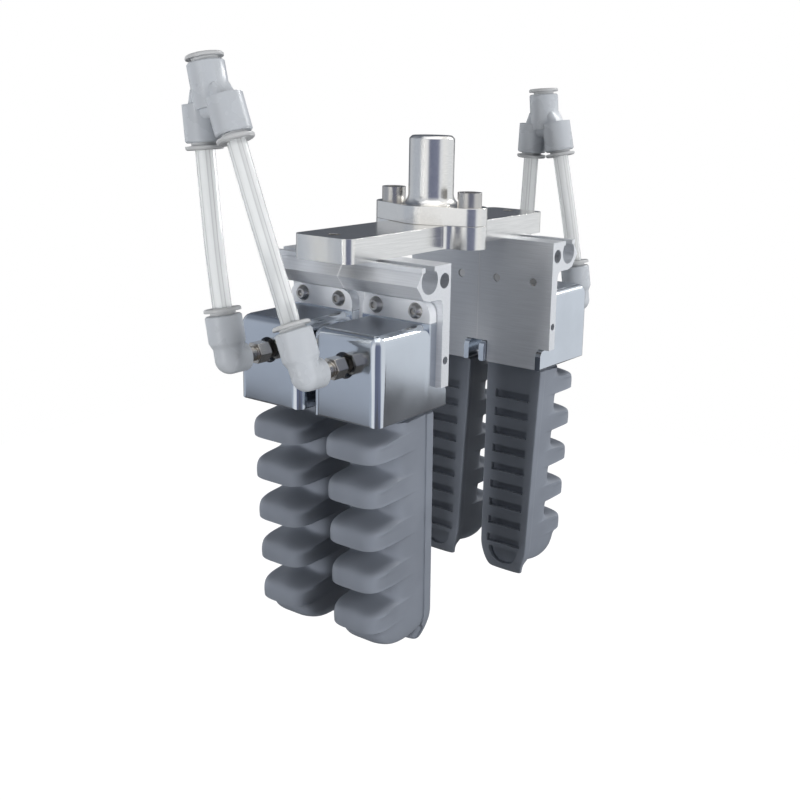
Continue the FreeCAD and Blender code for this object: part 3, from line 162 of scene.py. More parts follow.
class GripperFinger(bpy.types.PropertyGroup):
    """Sizes of the soft finger"""

    palm_top: length("Palm top", 0.0767, "Finger's top below the middle of the shaft's clamped length")
    palm_out: length("Palm out", 0.0344, "Palm's face from the shaft's axis")
    lean: angle("Lean", 2.5, "How far a finger leans inward at rest")
    half_width: length("Half width", 0.012, "Half of the palm plate's top edge")
    taper: angle("Taper", 1.3, "How far each side draws in downward")
    palm_plate: length("Palm plate", 0.0038, "Thickness of the palm plate")
    lip: length("Lip", 0.0007, "Palm plate beside the finger's body")
    body_depth: length("Body depth", 0.018, "Valley floors from the palm's face")
    top_slope: angle("Top slope", 2.0, "Fall of the finger's top away from the palm")
    corner: length("Corner", 0.0048, "Rounding of the lobes' upright corners")
    edge: length("Edge", 0.00045, "Rounding of the crisp edges")
    lobe_reach: length("Lobe reach", 0.031, "Lobes from the palm's face")
    lobe_pitch: length("Lobe pitch", 0.01468, "From lobe to lobe")
    first_lobe: length("First lobe", 0.0081, "First lobe's middle below the finger's top")
    lobes: IntProperty(name="Lobes", default=5, min=1, description="Number of bellows lobes")
    grooves: IntProperty(name="Grooves", default=9, min=1, description="Grooves across the palm")
    groove_first: length("First groove", 0.0118, "First groove's middle below the finger's top")
    groove_size: FloatVectorProperty(name="Groove", default=(0.0018, 0.015, 0.0031), subtype="XYZ",
                                     unit="LENGTH", description="Depth, width and height of a groove")
    dent_drop: length("Dent", 0.0737, "Flat side of the fingertip's dent below the finger's top")
    dent_radius: length("Dent radius", 0.0065, "Half-round dent at the fingertip")
    dent_depth: length("Dent depth", 0.0026, "Dent from the palm's plane")


class GripperBlock(bpy.types.PropertyGroup):
    """Sizes of a finger block that its softer edges need"""

    plate: length("Plate", 0.004, "Bracket's plate, between its inner face and the block's back")
    lug_rise: length("Lug rise", 0.0074, "Lug's top above the block's top")
    lug: length("Lug", 0.00385, "Lug's face from the block's back")
    half_width: length("Half width", 0.0137, "Half of the block's width")
    edge: length("Edges", 0.0036, "Rounding of the block's outer edges")
    foot: length("Foot", 0.0008, "Height of the foot's edge, which stays as it is")


class GripperFinish(bpy.types.PropertyGroup):
    """Colours of the pieces"""

    rubber: colour("Rubber", (0.225, 0.248, 0.292), "Silicone of the fingers")
    bar_metal: colour("Bar metal", (0.86, 0.845, 0.815), "Machined aluminium of crossbar and shaft")
    bracket_metal: colour("Bracket metal", (0.80, 0.82, 0.85), "Extruded aluminium of the brackets")
    # Painted highlight: the pale line where two bracket lengths meet.
    bracket_seam_highlight: colour("Bracket seam", (0.94, 0.95, 0.97), "Painted highlight where two bracket lengths meet")
    block_metal: colour("Block metal", (0.66, 0.70, 0.75), "Blocks that hold the fingers")
    # Painted shade: the darker colour of the blocks' top.
    block_top_painted_shade: colour("Block top", (0.36, 0.39, 0.44), "Painted shade on the blocks' top")
    # Painted light: the lighter colour of the blocks' lug.
    block_lug_painted_light: colour("Block lug", (0.92, 0.94, 0.97), "Painted light on the blocks' satin lug")
    screw_metal: colour("Screw metal", (0.62, 0.60, 0.57), "Screws")
    stud_metal: colour("Stud metal", (0.68, 0.64, 0.58), "Nickel-plated studs")
    plastic: colour("Plastic", (0.54, 0.57, 0.61), "Push-in fittings")
    ring: colour("Ring", (0.55, 0.56, 0.57), "Release collars")
    tube: colour("Tube", (0.93, 0.95, 0.96), "Air tubes")
    seal: colour("Seal", (0.02, 0.02, 0.022), "O-rings")


class GripperStudio(bpy.types.PropertyGroup):
    """Camera and light"""

    azimuth: angle("Azimuth", -54.0, "Where the camera stands; 0 looks along +Y")
    elevation: angle("Elevation", 12.75, "Camera above the horizon")
    roll: angle("Roll", 1.23, "Camera's turn about its line of sight")
    distance: length("Distance", 0.40509, "Camera from its target")
    target: FloatVectorProperty(name="Target", default=(-0.00233, 0.0, -0.06349), subtype="XYZ",
                                unit="LENGTH",
                                description="Point that the camera looks toward before its shift")
    focal: FloatProperty(name="Focal length", default=50.398, description="Lens in millimetres")
    shift: FloatVectorProperty(name="Shift", default=(-0.0299, -0.0728), size=2,
                               description="Shift of the picture, as a share of its width")
    lamp_power: FloatProperty(name="Lamps", default=1.0, description="Factor on all lamps")
    world_light: FloatProperty(name="World", default=0.07, description="Strength of the sky's light")


def node_body(name):
    """The body that carries a CAD node."""
    return next(body for body, nodes in frame["record"]["behaviour"]["bodies"].items() if name in nodes)


def new_object(name, data):
    """An object in the scene with the given mesh, curve, lamp or camera."""
    thing = bpy.data.objects.new(name, data)
    bpy.context.scene.collection.objects.link(thing)
    return thing


def mesh_object(name, shape):
    """An object from a bmesh, which is freed."""
    mesh = bpy.data.meshes.new(name)
    shape.to_mesh(mesh)
    shape.free()
    return new_object(name, mesh)


def baked(thing, name):
    """The object's mesh with its modifiers applied, under a new name."""
    bpy.context.view_layer.update()
    graph = bpy.context.evaluated_depsgraph_get()
    mesh = bpy.data.meshes.new_from_object(thing.evaluated_get(graph), depsgraph=graph)
    mesh.name = name
    return mesh


def coordinates(tree, kind):
    """Texture coordinates of one kind, such as Object or UV."""
    return tree.nodes.new("ShaderNodeTexCoord").outputs[kind]


def axes(tree, vector):
    """The X, Y and Z outputs of a vector."""
    node = tree.nodes.new("ShaderNodeSeparateXYZ")
    tree.links.new(vector, node.inputs["Vector"])
    return node.outputs


def calculated(tree, operation, first, second=None):
    """The result of a math node; the second input may be a number or another node's output."""
    node = tree.nodes.new("ShaderNodeMath")
    node.operation = operation
    tree.links.new(first, node.inputs[0])
    if isinstance(second, float):
        node.inputs[1].default_value = second
    elif second is not None:
        tree.links.new(second, node.inputs[1])
    return node.outputs["Value"]


def spread(tree, source, source_range, result_range=(0.0, 1.0)):
    """A value carried from one range to another and held at its ends."""
    node = tree.nodes.new("ShaderNodeMapRange")
    node.inputs["From Min"].default_value, node.inputs["From Max"].default_value = source_range
    node.inputs["To Min"].default_value, node.inputs["To Max"].default_value = result_range
    tree.links.new(source, node.inputs["Value"])
    return node.outputs["Result"]


def mixed(tree, factor, first, second):
    """A colour between two; each may be fixed or another node's output."""
    node = tree.nodes.new("ShaderNodeMix")
    node.data_type = "RGBA"
    tree.links.new(factor, node.inputs["Factor"])
    for name, value in (("A", first), ("B", second)):
        if isinstance(value, tuple):
            node.inputs[name].default_value = (*value, 1.0)
        else:
            tree.links.new(value, node.inputs[name])
    return node.outputs["Result"]


def bands(tree, source, stops):
    """A soft ramp of tints over a value from 0 to 1; the first two stops are the ends."""
    node = tree.nodes.new("ShaderNodeValToRGB")
    ramp = node.color_ramp
    ramp.interpolation = "EASE"
    for index, (place, tint) in enumerate(stops):
        stop = ramp.elements[index] if index < 2 else ramp.elements.new(place)
        stop.position = place
        stop.color = (*tint, 1.0)
    tree.links.new(source, node.inputs["Fac"])
    return node.outputs["Color"]


def overlaid(tree, factor, changes):
    """Blends other values into the principled shader's sockets by a factor."""
    shader = tree.nodes["Principled BSDF"]
    for socket, value in changes:
        mix = tree.nodes.new("ShaderNodeMix")
        colourful = socket == "Base Color"
        mix.data_type = "RGBA" if colourful else "FLOAT"
        first, second, result = (6, 7, 2) if colourful else (2, 3, 0)
        given = shader.inputs[socket]
        if given.is_linked:
            tree.links.new(given.links[0].from_socket, mix.inputs[first])
        else:
            mix.inputs[first].default_value = given.default_value
        mix.inputs[second].default_value = (*value, 1.0) if colourful else value
        tree.links.new(factor, mix.inputs["Factor"])
        tree.links.new(mix.outputs[result], given)


def scaled(value, factor):
    """A colour made lighter or darker."""
    return tuple(min(1.0, channel * factor) for channel in value)


class Recipe:
    """Builds a material's nodes round its principled shader."""

    def __init__(self, name, base, roughness, metallic=0.0, **sockets):
        self.material = bpy.data.materials.new(name)
        self.material.use_nodes = True
        self.tree = self.material.node_tree
        self.shader = self.tree.nodes["Principled BSDF"]
        self.shader.inputs["Base Color"].default_value = (*base, 1.0)
        self.shader.inputs["Roughness"].default_value = roughness
        self.shader.inputs["Metallic"].default_value = metallic
        for socket, value in sockets.items():
            self.shader.inputs[socket.replace("_", " ")].default_value = value
        self.coordinates = coordinates(self.tree, "Object")

    def noise(self, scale, detail=3.0, stretch=(1.0, 1.0, 1.0), roughness=0.5):
        """Noise over the surface; stretch is the scale along each axis."""
        mapping = self.tree.nodes.new("ShaderNodeMapping")
        mapping.inputs["Scale"].default_value = stretch
        self.tree.links.new(self.coordinates, mapping.inputs["Vector"])
        texture = self.tree.nodes.new("ShaderNodeTexNoise")
        texture.inputs["Scale"].default_value = scale
        texture.inputs["Detail"].default_value = detail
        texture.inputs["Roughness"].default_value = roughness
        self.tree.links.new(mapping.outputs["Vector"], texture.inputs["Vector"])
        return texture.outputs["Fac"]

    def tinted(self, source, first, second):
        """Base colour that runs between two with a noise."""
        ramp = self.tree.nodes.new("ShaderNodeValToRGB")
        ramp.color_ramp.elements[0].position = 0.35
        ramp.color_ramp.elements[0].color = (*first, 1.0)
        ramp.color_ramp.elements[1].position = 0.65
        ramp.color_ramp.elements[1].color = (*second, 1.0)
        self.tree.links.new(source, ramp.inputs["Fac"])
        self.tree.links.new(ramp.outputs["Color"], self.shader.inputs["Base Color"])

    def rough(self, source, low, high):
        """Roughness that runs from low to high with a noise."""
        result = spread(self.tree, source, (0.3, 0.7), (low, high))
        self.tree.links.new(result, self.shader.inputs["Roughness"])

    def bump(self, source, depth, strength):
        """Fine relief from a noise, with its depth in metres."""
        node = self.tree.nodes.new("ShaderNodeBump")
        node.inputs["Distance"].default_value = depth
        node.inputs["Strength"].default_value = strength
        self.tree.links.new(source, node.inputs["Height"])
        self.tree.links.new(node.outputs["Normal"], self.shader.inputs["Normal"])


def rubber_material(finish):
    """Matt silicone with broad clouds and a fine grain."""
    recipe = Recipe("silicone_rubber", finish.rubber, 0.40, Specular_IOR_Level=0.32)
    broad = recipe.noise(60.0, 2.0)
    recipe.tinted(broad, scaled(finish.rubber, 0.94), scaled(finish.rubber, 1.06))
    recipe.rough(recipe.noise(180.0), 0.36, 0.50)
    recipe.bump(recipe.noise(2600.0, 2.0), 0.00002, 0.35)
    return recipe.material


def brushed_material(name, base, stretch, roughness, metallic=1.0, strength=0.05):
    """Metal with fine lines: the pattern is stretched along its brushing."""
    recipe = Recipe(name, base, roughness, metallic)
    lines = recipe.noise(2400.0, 3.0, stretch, 0.6)
    recipe.tinted(lines, scaled(base, 0.95), scaled(base, 1.04))
    recipe.rough(lines, roughness * 0.8, roughness * 1.25)
    recipe.bump(lines, 0.00001, strength)
    return recipe.material


def cast_material(name, base, roughness):
    """Satin metal with soft clouds in its gloss."""
    recipe = Recipe(name, base, roughness, 1.0)
    clouds = recipe.noise(70.0, 4.0)
    recipe.tinted(clouds, scaled(base, 0.96), scaled(base, 1.03))
    recipe.rough(clouds, roughness * 0.8, roughness * 1.2)
    recipe.bump(recipe.noise(1800.0, 2.0), 0.000004, 0.05)
    return recipe.material


def bracket_material(finish):
    """Extruded metal with a fine pale line painted where two lengths meet: a painted highlight of their
    cut edges.
    """
    stretch = (1.0, 0.03, 1.0)
    material = brushed_material("extruded_bracket", finish.bracket_metal, stretch, 0.42, 0.5, 0.03)
    tree = material.node_tree
    distance = calculated(tree, "ABSOLUTE", axes(tree, coordinates(tree, "Object"))["Y"])
    # Painted highlight: a pale line, not metal, stands for light caught on the cut edges where two
    # lengths meet.
    seam = calculated(tree, "LESS_THAN", distance, SEAM_HALF_WIDTH)
    overlaid(tree, seam, (("Base Color", finish.bracket_seam_highlight), ("Metallic", 0.0)))
    return material


def block_material(finish, top):
    """Polished sides, painted shade on the top (a darker colour, with a rougher finish), and painted
    light on the lug above that height (a lighter colour, with a satin finish).
    """
    material = cast_material("satin_block", finish.block_metal, 0.13)
    tree = material.node_tree
    # Painted shade: faces that point straight up get a darker colour, with a rougher finish.
    normal = tree.nodes.new("ShaderNodeNewGeometry").outputs["Normal"]
    upward = spread(tree, axes(tree, normal)["Z"], (0.97, 0.99))
    overlaid(tree, upward, (("Base Color", finish.block_top_painted_shade), ("Roughness", 0.42)))
    # Painted light: the lug above the block's top gets a lighter colour, with a satin finish and less
    # metal.
    height = axes(tree, coordinates(tree, "Object"))["Z"]
    above = spread(tree, height, (top + 0.0001, top + 0.0007))
    lug = (("Base Color", finish.block_lug_painted_light), ("Roughness", 0.34), ("Metallic", 0.2))
    overlaid(tree, above, lug)
    return material


# How often the painted streaks repeat round a tube, and how light its wall is painted over one repeat:
# painted light and shade that stand for the bore seen through the wall.
TUBE_REPEATS = 5.0
TUBE_PAINTED_STREAKS = (
    (0.0, 1.0),
    (1.0, 1.0),
    (0.28, 1.0),
    (0.38, 0.72),
    (0.46, 0.88),
    (0.60, 0.94),
    (0.68, 0.66),
    (0.78, 0.98),
)


def tube_material(finish):
    """Pale tube with painted light and dark streaks along it, which stand for its bore seen through the
    wall.
    """
    recipe = Recipe("tube_polyurethane", finish.tube, 0.16, Transmission_Weight=0.5, IOR=1.3)
    tree = recipe.tree
    # Painted light and shade: streaks round the tube stand for the bore seen through its wall.
    turns = calculated(tree, "MULTIPLY", axes(tree, coordinates(tree, "UV"))["Y"], TUBE_REPEATS)
    part = calculated(tree, "FRACT", turns)
    tints = tuple((place, scaled(finish.tube, share)) for place, share in TUBE_PAINTED_STREAKS)
    tree.links.new(bands(tree, part, tints), recipe.shader.inputs["Base Color"])
    return recipe.material


def plastic_material(name, base, roughness):
    """Smooth moulded plastic or rubber with a faint grain."""
    recipe = Recipe(name, base, roughness)
    clouds = recipe.noise(120.0, 3.0)
    recipe.tinted(clouds, scaled(base, 0.97), scaled(base, 1.02))
    recipe.rough(clouds, roughness * 0.85, roughness * 1.15)
    recipe.bump(recipe.noise(900.0, 2.0), 0.000008, 0.3)
    return recipe.material


def add_box(shape, low, high, bevel=0.0, segments=3):
    """A box between two corners, with rounded edges if bevel is above 0."""
    middle = (Vector(low) + Vector(high)) / 2
    size = Vector(high) - Vector(low)
    place = Matrix.Translation(middle) @ Matrix.Diagonal((*size, 1.0))
    made = bmesh.ops.create_cube(shape, size=1.0, matrix=place)
    if bevel:
        edges = {edge for vert in made["verts"] for edge in vert.link_edges}
        bmesh.ops.bevel(shape, geom=list(edges), offset=bevel, segments=segments, profile=0.5,
                        affect="EDGES")


def combined(thing, other, operation):
    """Applies a boolean of a second closed mesh to the first and drops the second."""
    step = thing.modifiers.new(operation.lower(), "BOOLEAN")
    step.operation = operation
    step.solver = "EXACT"
    step.object = other
    result = baked(thing, thing.data.name)
    thing.modifiers.remove(step)
    thing.data = result
    bpy.data.objects.remove(other)


def clean_copy(node_name):
    """An object with a CAD node's shape, its loose triangles joined and its flat faces made whole."""
    node = frame["nodes"][node_name]
    shape = bmesh.new()
    shape.from_mesh(node.data)
    shape.transform(node.matrix_world)
    bmesh.ops.remove_doubles(shape, verts=shape.verts, dist=WELD)
    bmesh.ops.recalc_face_normals(shape, faces=shape.faces)
    bmesh.ops.dissolve_limit(shape, angle_limit=math.radians(FLAT_ANGLE), verts=shape.verts,
                             edges=shape.edges)
    return mesh_object(f"{node_name}_finish", shape)


def dressed(node_name, material, bevel, segments=2, shape=None):
    """The node's shape, or a clean copy of it, with fine bevels; it stands for the CAD node."""
    thing = shape or clean_copy(node_name)
    mesh = thing.data
    mesh.materials.clear()
    mesh.materials.append(material)
    mesh.shade_smooth()
    edge = thing.modifiers.new("edges", "BEVEL")
    edge.width = bevel
    edge.segments = segments
    edge.limit_method = "ANGLE"
    edge.angle_limit = math.radians(BEVEL_ANGLE)
    edge.use_clamp_overlap = True
    edge.miter_outer = "MITER_ARC"
    thing.modifiers.new("normals", "WEIGHTED_NORMAL")
    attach(thing, node_body(node_name))
    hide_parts(node_name)
    return thing


def soft_block(block, side, row):
    """A finger block with its inner upright edges filled and its outer edges rounded wider."""
    node_name = f"finger_block_{side}_{row}"
    thing = clean_copy(node_name)
    low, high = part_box(node_name)
    outward = -1.0 if side == "left" else 1.0
    bracket_low, bracket_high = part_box(f"bracket_{side}_{row}")
    back = min(abs(bracket_low[0]), abs(bracket_high[0])) + block.plate
    front = max(abs(low[0]), abs(high[0]))
    top = high[2] - block.lug_rise
    middle = (low[1] + high[1]) / 2

    def span(near, far, half, bottom, ceiling):
        """Two corners of a box between two distances from the shaft and two heights."""
        ends = sorted((outward * near, outward * far))
        return (ends[0], middle - half, bottom), (ends[1], middle + half, ceiling)

    filler = bmesh.new()
    add_box(filler, *span(back + FILLER_GAP, back + FILLER_DEPTH, block.half_width,
                          low[2] + block.foot, top - FILLER_BELOW_TOP))
    combined(thing, mesh_object("block_filler", filler), "UNION")
    inner = back - FORM_PAST
    under = low[2] - FORM_PAST
    trim = bmesh.new()
    add_box(trim, *span(inner, front, block.half_width, under, top), block.edge, 6)
    form = mesh_object("block_form", trim)
    keep = bmesh.new()
    add_box(keep, *span(inner, back + block.lug, block.half_width + LUG_PAST, under,
                        high[2] + LUG_PAST))
    combined(form, mesh_object("block_keep", keep), "UNION")
    combined(thing, form, "INTERSECT")
    return thing


def finger_outline(finger, palm, front, middle_height=None, drawn_in=0.0):
    """Half of one row across a finger, from the palm's middle round to the lobe's middle.

    palm and front are (distance from the palm's plane, height) of the row's two ends, in metres.
    middle_height is the height on the lobe's middle line, where it differs from front's.
    drawn_in makes the row narrower at each side. Each point is (distance, half width, height).
    """
    (palm, palm_height), (reach, front_height) = palm, front
    if middle_height is None:
        middle_height = front_height
    half = finger.half_width + palm_height * math.tan(finger.taper) - drawn_in
    body = half - finger.lip
    plate = min(finger.palm_plate, 0.45 * (reach - palm))
    corner = min(finger.corner, 0.45 * (reach - palm))
    neck = body - corner
    low, high = palm_height, front_height
    return [
        (palm, 0.0, low),
        (palm, 0.5 * half, low),
        (palm, half - PALM_HOLD, low),
        (palm, half, low),
        (palm + 0.25 * plate, half, low),
        (palm + 0.9 * plate, half, low),
        (palm + plate, half, low),
        (palm + plate, body, low),
        (palm + plate * 1.15, body, low + 0.05 * (high - low)),
        (reach - corner, body, high),
        (reach - 0.28 * corner, body - 0.28 * corner, high + 0.3 * (middle_height - high)),
        (reach, neck, high + 0.55 * (middle_height - high)),
        (reach, 0.5 * neck, high + 0.88 * (middle_height - high)),
        (reach, 0.0, middle_height),
    ]


# A lobe's rows from its upper valley to its lower one, in millimetres from its middle height: at the
# finger's side, in its middle, and how far the row has come from valley floor (0) to full reach (1).
# The last value says which of its edges are crisp: the side's edge toward the next row, or the nose's.
LOBE_ROWS = (
    (10.9, 10.1, 0.0, ""),
    (8.2, 8.6, 0.0, ""),
    (4.6, 7.0, 0.0, ""),
    (3.4, 6.4, 0.07, "side"),
    (3.3, 5.5, 0.42, "side"),
    (3.1, 4.5, 0.72, "side"),
    (2.6, 3.5, 0.90, "side"),
    (1.6, 2.0, 0.98, ""),
    (-0.6, -0.5, 1.01, ""),
    (-2.7, -2.75, 1.0, "nose"),
    (-2.85, -3.2, 0.84, "side"),
    (-3.05, -3.8, 0.45, "side"),
    (-3.2, -4.2, 0.07, ""),
)
# The tip's rows, in millimetres: the palm plate's outer face and the body's end, each as distance
# from the palm's plane and height, and how far each side has drawn in. The body closes round its
# end, and the plate goes on alone as a narrowing tongue.
TIP_ROWS = (
    ((0.0, -69.6), (28.4, -70.2), 0.0),
    ((0.0, -70.8), (26.6, -71.6), 0.0),
    ((0.0, -72.0), (26.2, -73.6), 0.0),
    ((0.0, -73.2), (25.0, -75.6), 0.1),
    ((0.05, -74.3), (22.4, -77.4), 0.25),
    ((0.1, -75.3), (18.6, -78.4), 0.45),
    ((0.2, -76.3), (14.0, -78.4), 0.7),
    ((0.3, -77.2), (9.5, -77.6), 1.0),
    ((0.5, -78.2), (5.2, -76.8), 1.3),
    ((0.8, -79.4), (4.0, -78.2), 1.7),
    ((1.4, -81.0), (4.3, -80.2), 2.2),
    ((2.4, -82.7), (5.2, -82.0), 2.8),
    ((3.6, -83.75), (5.9, -83.1), 3.5),
)


def finger_rows(finger):
    """All rows of a finger from its top down, as half outlines with their crisp edges."""
    deep = finger.body_depth
    drop = -deep * math.tan(finger.top_slope)
    rows = [(finger_outline(finger, (0.0, 0.0), (deep, drop)), "nose"),
            (finger_outline(finger, (0.0, -TOP_HOLD), (deep, drop - TOP_HOLD)), "")]
    for lobe in range(finger.lobes):
        middle = finger.first_lobe + lobe * finger.lobe_pitch
        for side, centre, share, crisp in LOBE_ROWS:
            height = side * MM - middle
            if height > -SIDE_ROOM:
                continue
            # Below the last lobe the tip's rows take over.
            if lobe == finger.lobes - 1 and side < -2.7:
                break
            reach = deep + share * (finger.lobe_reach - deep)
            inner = min(centre * MM - middle, -MIDDLE_ROOM)
            rows.append((finger_outline(finger, (0.0, height), (reach, height), inner), crisp))
    for plate, body, drawn_in in TIP_ROWS:
        palm, end = ([value * MM for value in pair] for pair in (plate, body))
        rows.append((finger_outline(finger, palm, end, drawn_in=drawn_in * MM), ""))
    return rows


# The point of a row's outline where the finger's side turns into the lobe's corner.
SIDE_COLUMN = 9


def finger_cage(finger):
    """Coarse closed cage of a finger in its own frame: the palm's plane is x = 0, lobes point to -x."""
    shape = bmesh.new()
    crease = shape.edges.layers.float.new("crease_edge")
    rings = []
    for half, crisp in finger_rows(finger):
        right = [shape.verts.new((-u, y, z)) for u, y, z in half]
        left = [shape.verts.new((-u, -y, z)) for u, y, z in half[1:-1]]
        rings.append((right, [right[0], *left, right[-1]], crisp))
    for (upper_right, upper_left, _), (lower_right, lower_left, _) in zip(rings, rings[1:]):
        for i in range(len(upper_right) - 1):
            shape.faces.new((upper_right[i], upper_right[i + 1], lower_right[i + 1], lower_right[i]))
            shape.faces.new((upper_left[i + 1], upper_left[i], lower_left[i], lower_left[i + 1]))
    for (right, left, _), flip in ((rings[0], False), (rings[-1], True)):
        for i in range(len(right) - 1):
            ring = [right[i], right[i + 1], left[i + 1], left[i]]
            corners = list(dict.fromkeys(ring))
            shape.faces.new(corners[::-1] if flip else corners)
    for upper, lower in zip(rings, rings[1:]):
        for half in range(2):
            row = upper[half]
            if upper[2] == "nose":
                for first, second in zip(row[SIDE_COLUMN:], row[SIDE_COLUMN + 1:]):
                    shape.edges.get((first, second))[crease] = 1.0
            if upper[2]:
                shape.edges.get((row[SIDE_COLUMN], lower[half][SIDE_COLUMN]))[crease] = 1.0
    bmesh.ops.recalc_face_normals(shape, faces=shape.faces)
    mesh = bpy.data.meshes.new("finger_cage")
    shape.to_mesh(mesh)
    shape.free()
    return mesh


def finger_place(finger):
    """From a finger's own frame to its place on the left, on the middle line."""
    lean = Matrix.Rotation(-finger.lean, 4, "Y")
    return Matrix.Translation((-finger.palm_out, 0.0, -finger.palm_top)) @ lean


def add_half_disc(shape, drop, radius, depth, out, segments=24):
    """Half-round tool for the fingertip's dent, flat side up, through the palm's face."""
    turns = [math.pi + math.pi * step / segments for step in range(segments + 1)]
    spots = [(radius * math.cos(turn), radius * math.sin(turn)) for turn in turns]
    rings = [[shape.verts.new((x, y, z - drop)) for y, z in spots] for x in (-depth, out)]
    shape.faces.new(rings[0])
    shape.faces.new(rings[1][::-1])
    count = len(spots)
    for step in range(count):
        after = (step + 1) % count
        shape.faces.new((rings[0][step], rings[1][step], rings[1][after], rings[0][after]))


def groove_tree():
    """Geometry nodes: a row of boxes down a line. Also gives each input's identifier."""
    tree = bpy.data.node_groups.new("groove_row", "GeometryNodeTree")
    names = (("Count", "NodeSocketInt"), ("Pitch", "NodeSocketFloat"), ("First", "NodeSocketVector"),
             ("Size", "NodeSocketVector"), ("Material", "NodeSocketMaterial"))
    keys = {name: tree.interface.new_socket(name, in_out="INPUT", socket_type=kind).identifier
            for name, kind in names}
    tree.interface.new_socket("Geometry", in_out="OUTPUT", socket_type="NodeSocketGeometry")
    given = tree.nodes.new("NodeGroupInput").outputs
    step = tree.nodes.new("ShaderNodeCombineXYZ")
    line = tree.nodes.new("GeometryNodeMeshLine")
    box = tree.nodes.new("GeometryNodeMeshCube")
    row = tree.nodes.new("GeometryNodeInstanceOnPoints")
    real = tree.nodes.new("GeometryNodeRealizeInstances")
    paint = tree.nodes.new("GeometryNodeSetMaterial")
    result = tree.nodes.new("NodeGroupOutput")
    for source, target in (
            (calculated(tree, "MULTIPLY", given["Pitch"], -1.0), step.inputs["Z"]),
            (given["Count"], line.inputs["Count"]),
            (given["First"], line.inputs["Start Location"]),
            (step.outputs["Vector"], line.inputs["Offset"]),
            (given["Size"], box.inputs["Size"]),
            (line.outputs["Mesh"], row.inputs["Points"]),
            (box.outputs["Mesh"], row.inputs["Instance"]),
            (row.outputs["Instances"], real.inputs["Geometry"]),
            (real.outputs["Geometry"], paint.inputs["Geometry"]),
            (given["Material"], paint.inputs["Material"]),
            (paint.outputs["Geometry"], result.inputs["Geometry"])):
        tree.links.new(source, target)
    return tree, keys


def groove_cutters(finger, material):
    """The row of tools that cut the grooves across the palm, as a plain mesh."""
    tree, keys = groove_tree()
    depth, width, height = finger.groove_size
    row = new_object("palm_grooves", bpy.data.meshes.new("palm_grooves"))
    nodes = row.modifiers.new("grooves", "NODES")
    nodes.node_group = tree
    nodes[keys["Count"]] = finger.grooves
    nodes[keys["Pitch"]] = finger.lobe_pitch / 2
    nodes[keys["First"]] = ((CUTTER_PAST - depth) / 2, 0.0, -finger.groove_first)
    nodes[keys["Size"]] = (CUTTER_PAST + depth, width, height)
    nodes[keys["Material"]] = material
    mesh = baked(row, "palm_grooves")
    row.modifiers.remove(nodes)
    row.data = mesh
    mesh.transform(finger_place(finger))
    return row


def dent_cutter(finger):
    """The tool of the half-round dent at the fingertip."""
    shape = bmesh.new()
    add_half_disc(shape, finger.dent_drop, finger.dent_radius, finger.dent_depth, CUTTER_PAST)
    bmesh.ops.recalc_face_normals(shape, faces=shape.faces)
    cutter = mesh_object("palm_dent", shape)
    cutter.data.transform(finger_place(finger))
    return cutter


def root_blank(finger):
    """The finger's root plug with its neck toward the finger, on the middle line."""
    low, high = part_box("finger_root_left_front")
    half = (high[1] - low[1]) / 2
    neck_end = -finger.palm_out - finger.body_depth + NECK_INTO_BODY
    shape = bmesh.new()
    add_box(shape, (low[0], -half, low[2]), (high[0], half, high[2]), ROOT_ROUND)
    add_box(shape, (neck_end, -NECK_HALF_WIDTH, low[2] - NECK_BELOW_ROOT),
            (high[0] - NECK_SETBACK, NECK_HALF_WIDTH, low[2] + NECK_INTO_ROOT))
    root = mesh_object("root_blank", shape)
    whole = root.modifiers.new("whole", "REMESH")
    whole.mode = "VOXEL"
    whole.voxel_size = ROOT_VOXEL
    mesh = baked(root, "root_blank")
    root.modifiers.clear()
    root.data = mesh
    return root


def finger_master(finger, material):
    """One whole finger on the left, on the middle line: body, root, grooves and the tip's dent."""
    blank = new_object("finger_master", finger_cage(finger))
    smooth = blank.modifiers.new("smooth", "SUBSURF")
    smooth.levels = 2
    smooth.render_levels = 2
    edge = blank.modifiers.new("edges", "BEVEL")
    edge.width = finger.edge
    edge.segments = 2
    edge.limit_method = "ANGLE"
    edge.angle_limit = math.radians(CRISP_ANGLE)
    mesh = baked(blank, "finger_master")
    blank.modifiers.clear()
    blank.data = mesh
    mesh.transform(finger_place(finger))
    combined(blank, root_blank(finger), "UNION")
    combined(blank, groove_cutters(finger, material), "DIFFERENCE")
    combined(blank, dent_cutter(finger), "DIFFERENCE")
    return blank


def build_fingers(finger, material):
    """Four fingers from one master, each placed under its block."""
    master = finger_master(finger, material)
    master.data.shade_smooth()
    master.data.set_sharp_from_angle(angle=math.radians(SHARP_ANGLE))
    for side, row in CORNERS:
        mesh = master.data.copy()
        turn = Matrix.Rotation(0.0 if side == "left" else math.pi, 4, "Z")
        low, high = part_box(f"finger_block_{side}_{row}")
        mesh.transform(Matrix.Translation((0.0, (low[1] + high[1]) / 2, 0.0)) @ turn)
        mesh.name = f"bellows_finger_{side}_{row}"
        mesh.materials.clear()
        mesh.materials.append(material)
        piece = new_object(f"bellows_finger_{side}_{row}", mesh)
        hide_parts(f"soft_finger_{side}_{row}", f"finger_root_{side}_{row}")
        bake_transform(piece)
    bpy.data.objects.remove(master)


def build_tubes(material):
    """An air tube from each elbow to its Y block."""
    for side, row in CORNERS:
        x = -TUBE_PLANE if side == "left" else TUBE_PLANE
        points = [Vector((x, y * MM, z * MM)) for y, z in TUBE_POINTS[side, row]]
        curve = bpy.data.curves.new(f"tube_{side}_{row}", "CURVE")
        curve.dimensions = "3D"
        spline = curve.splines.new("NURBS")
        spline.points.add(len(points) - 1)
        for point, place in zip(spline.points, points):
            point.co = (*place, 1.0)
        spline.order_u = 3
        spline.use_endpoint_u = True
        spline.resolution_u = 16
        curve.bevel_depth = TUBE_DIAMETER / 2
        curve.bevel_resolution = 6
        curve.use_fill_caps = True
        curve.materials.append(material)
        piece = new_object(f"tube_{side}_{row}", curve)
        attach(piece, "frame")
        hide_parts(f"air_tube_{side}_{row}")


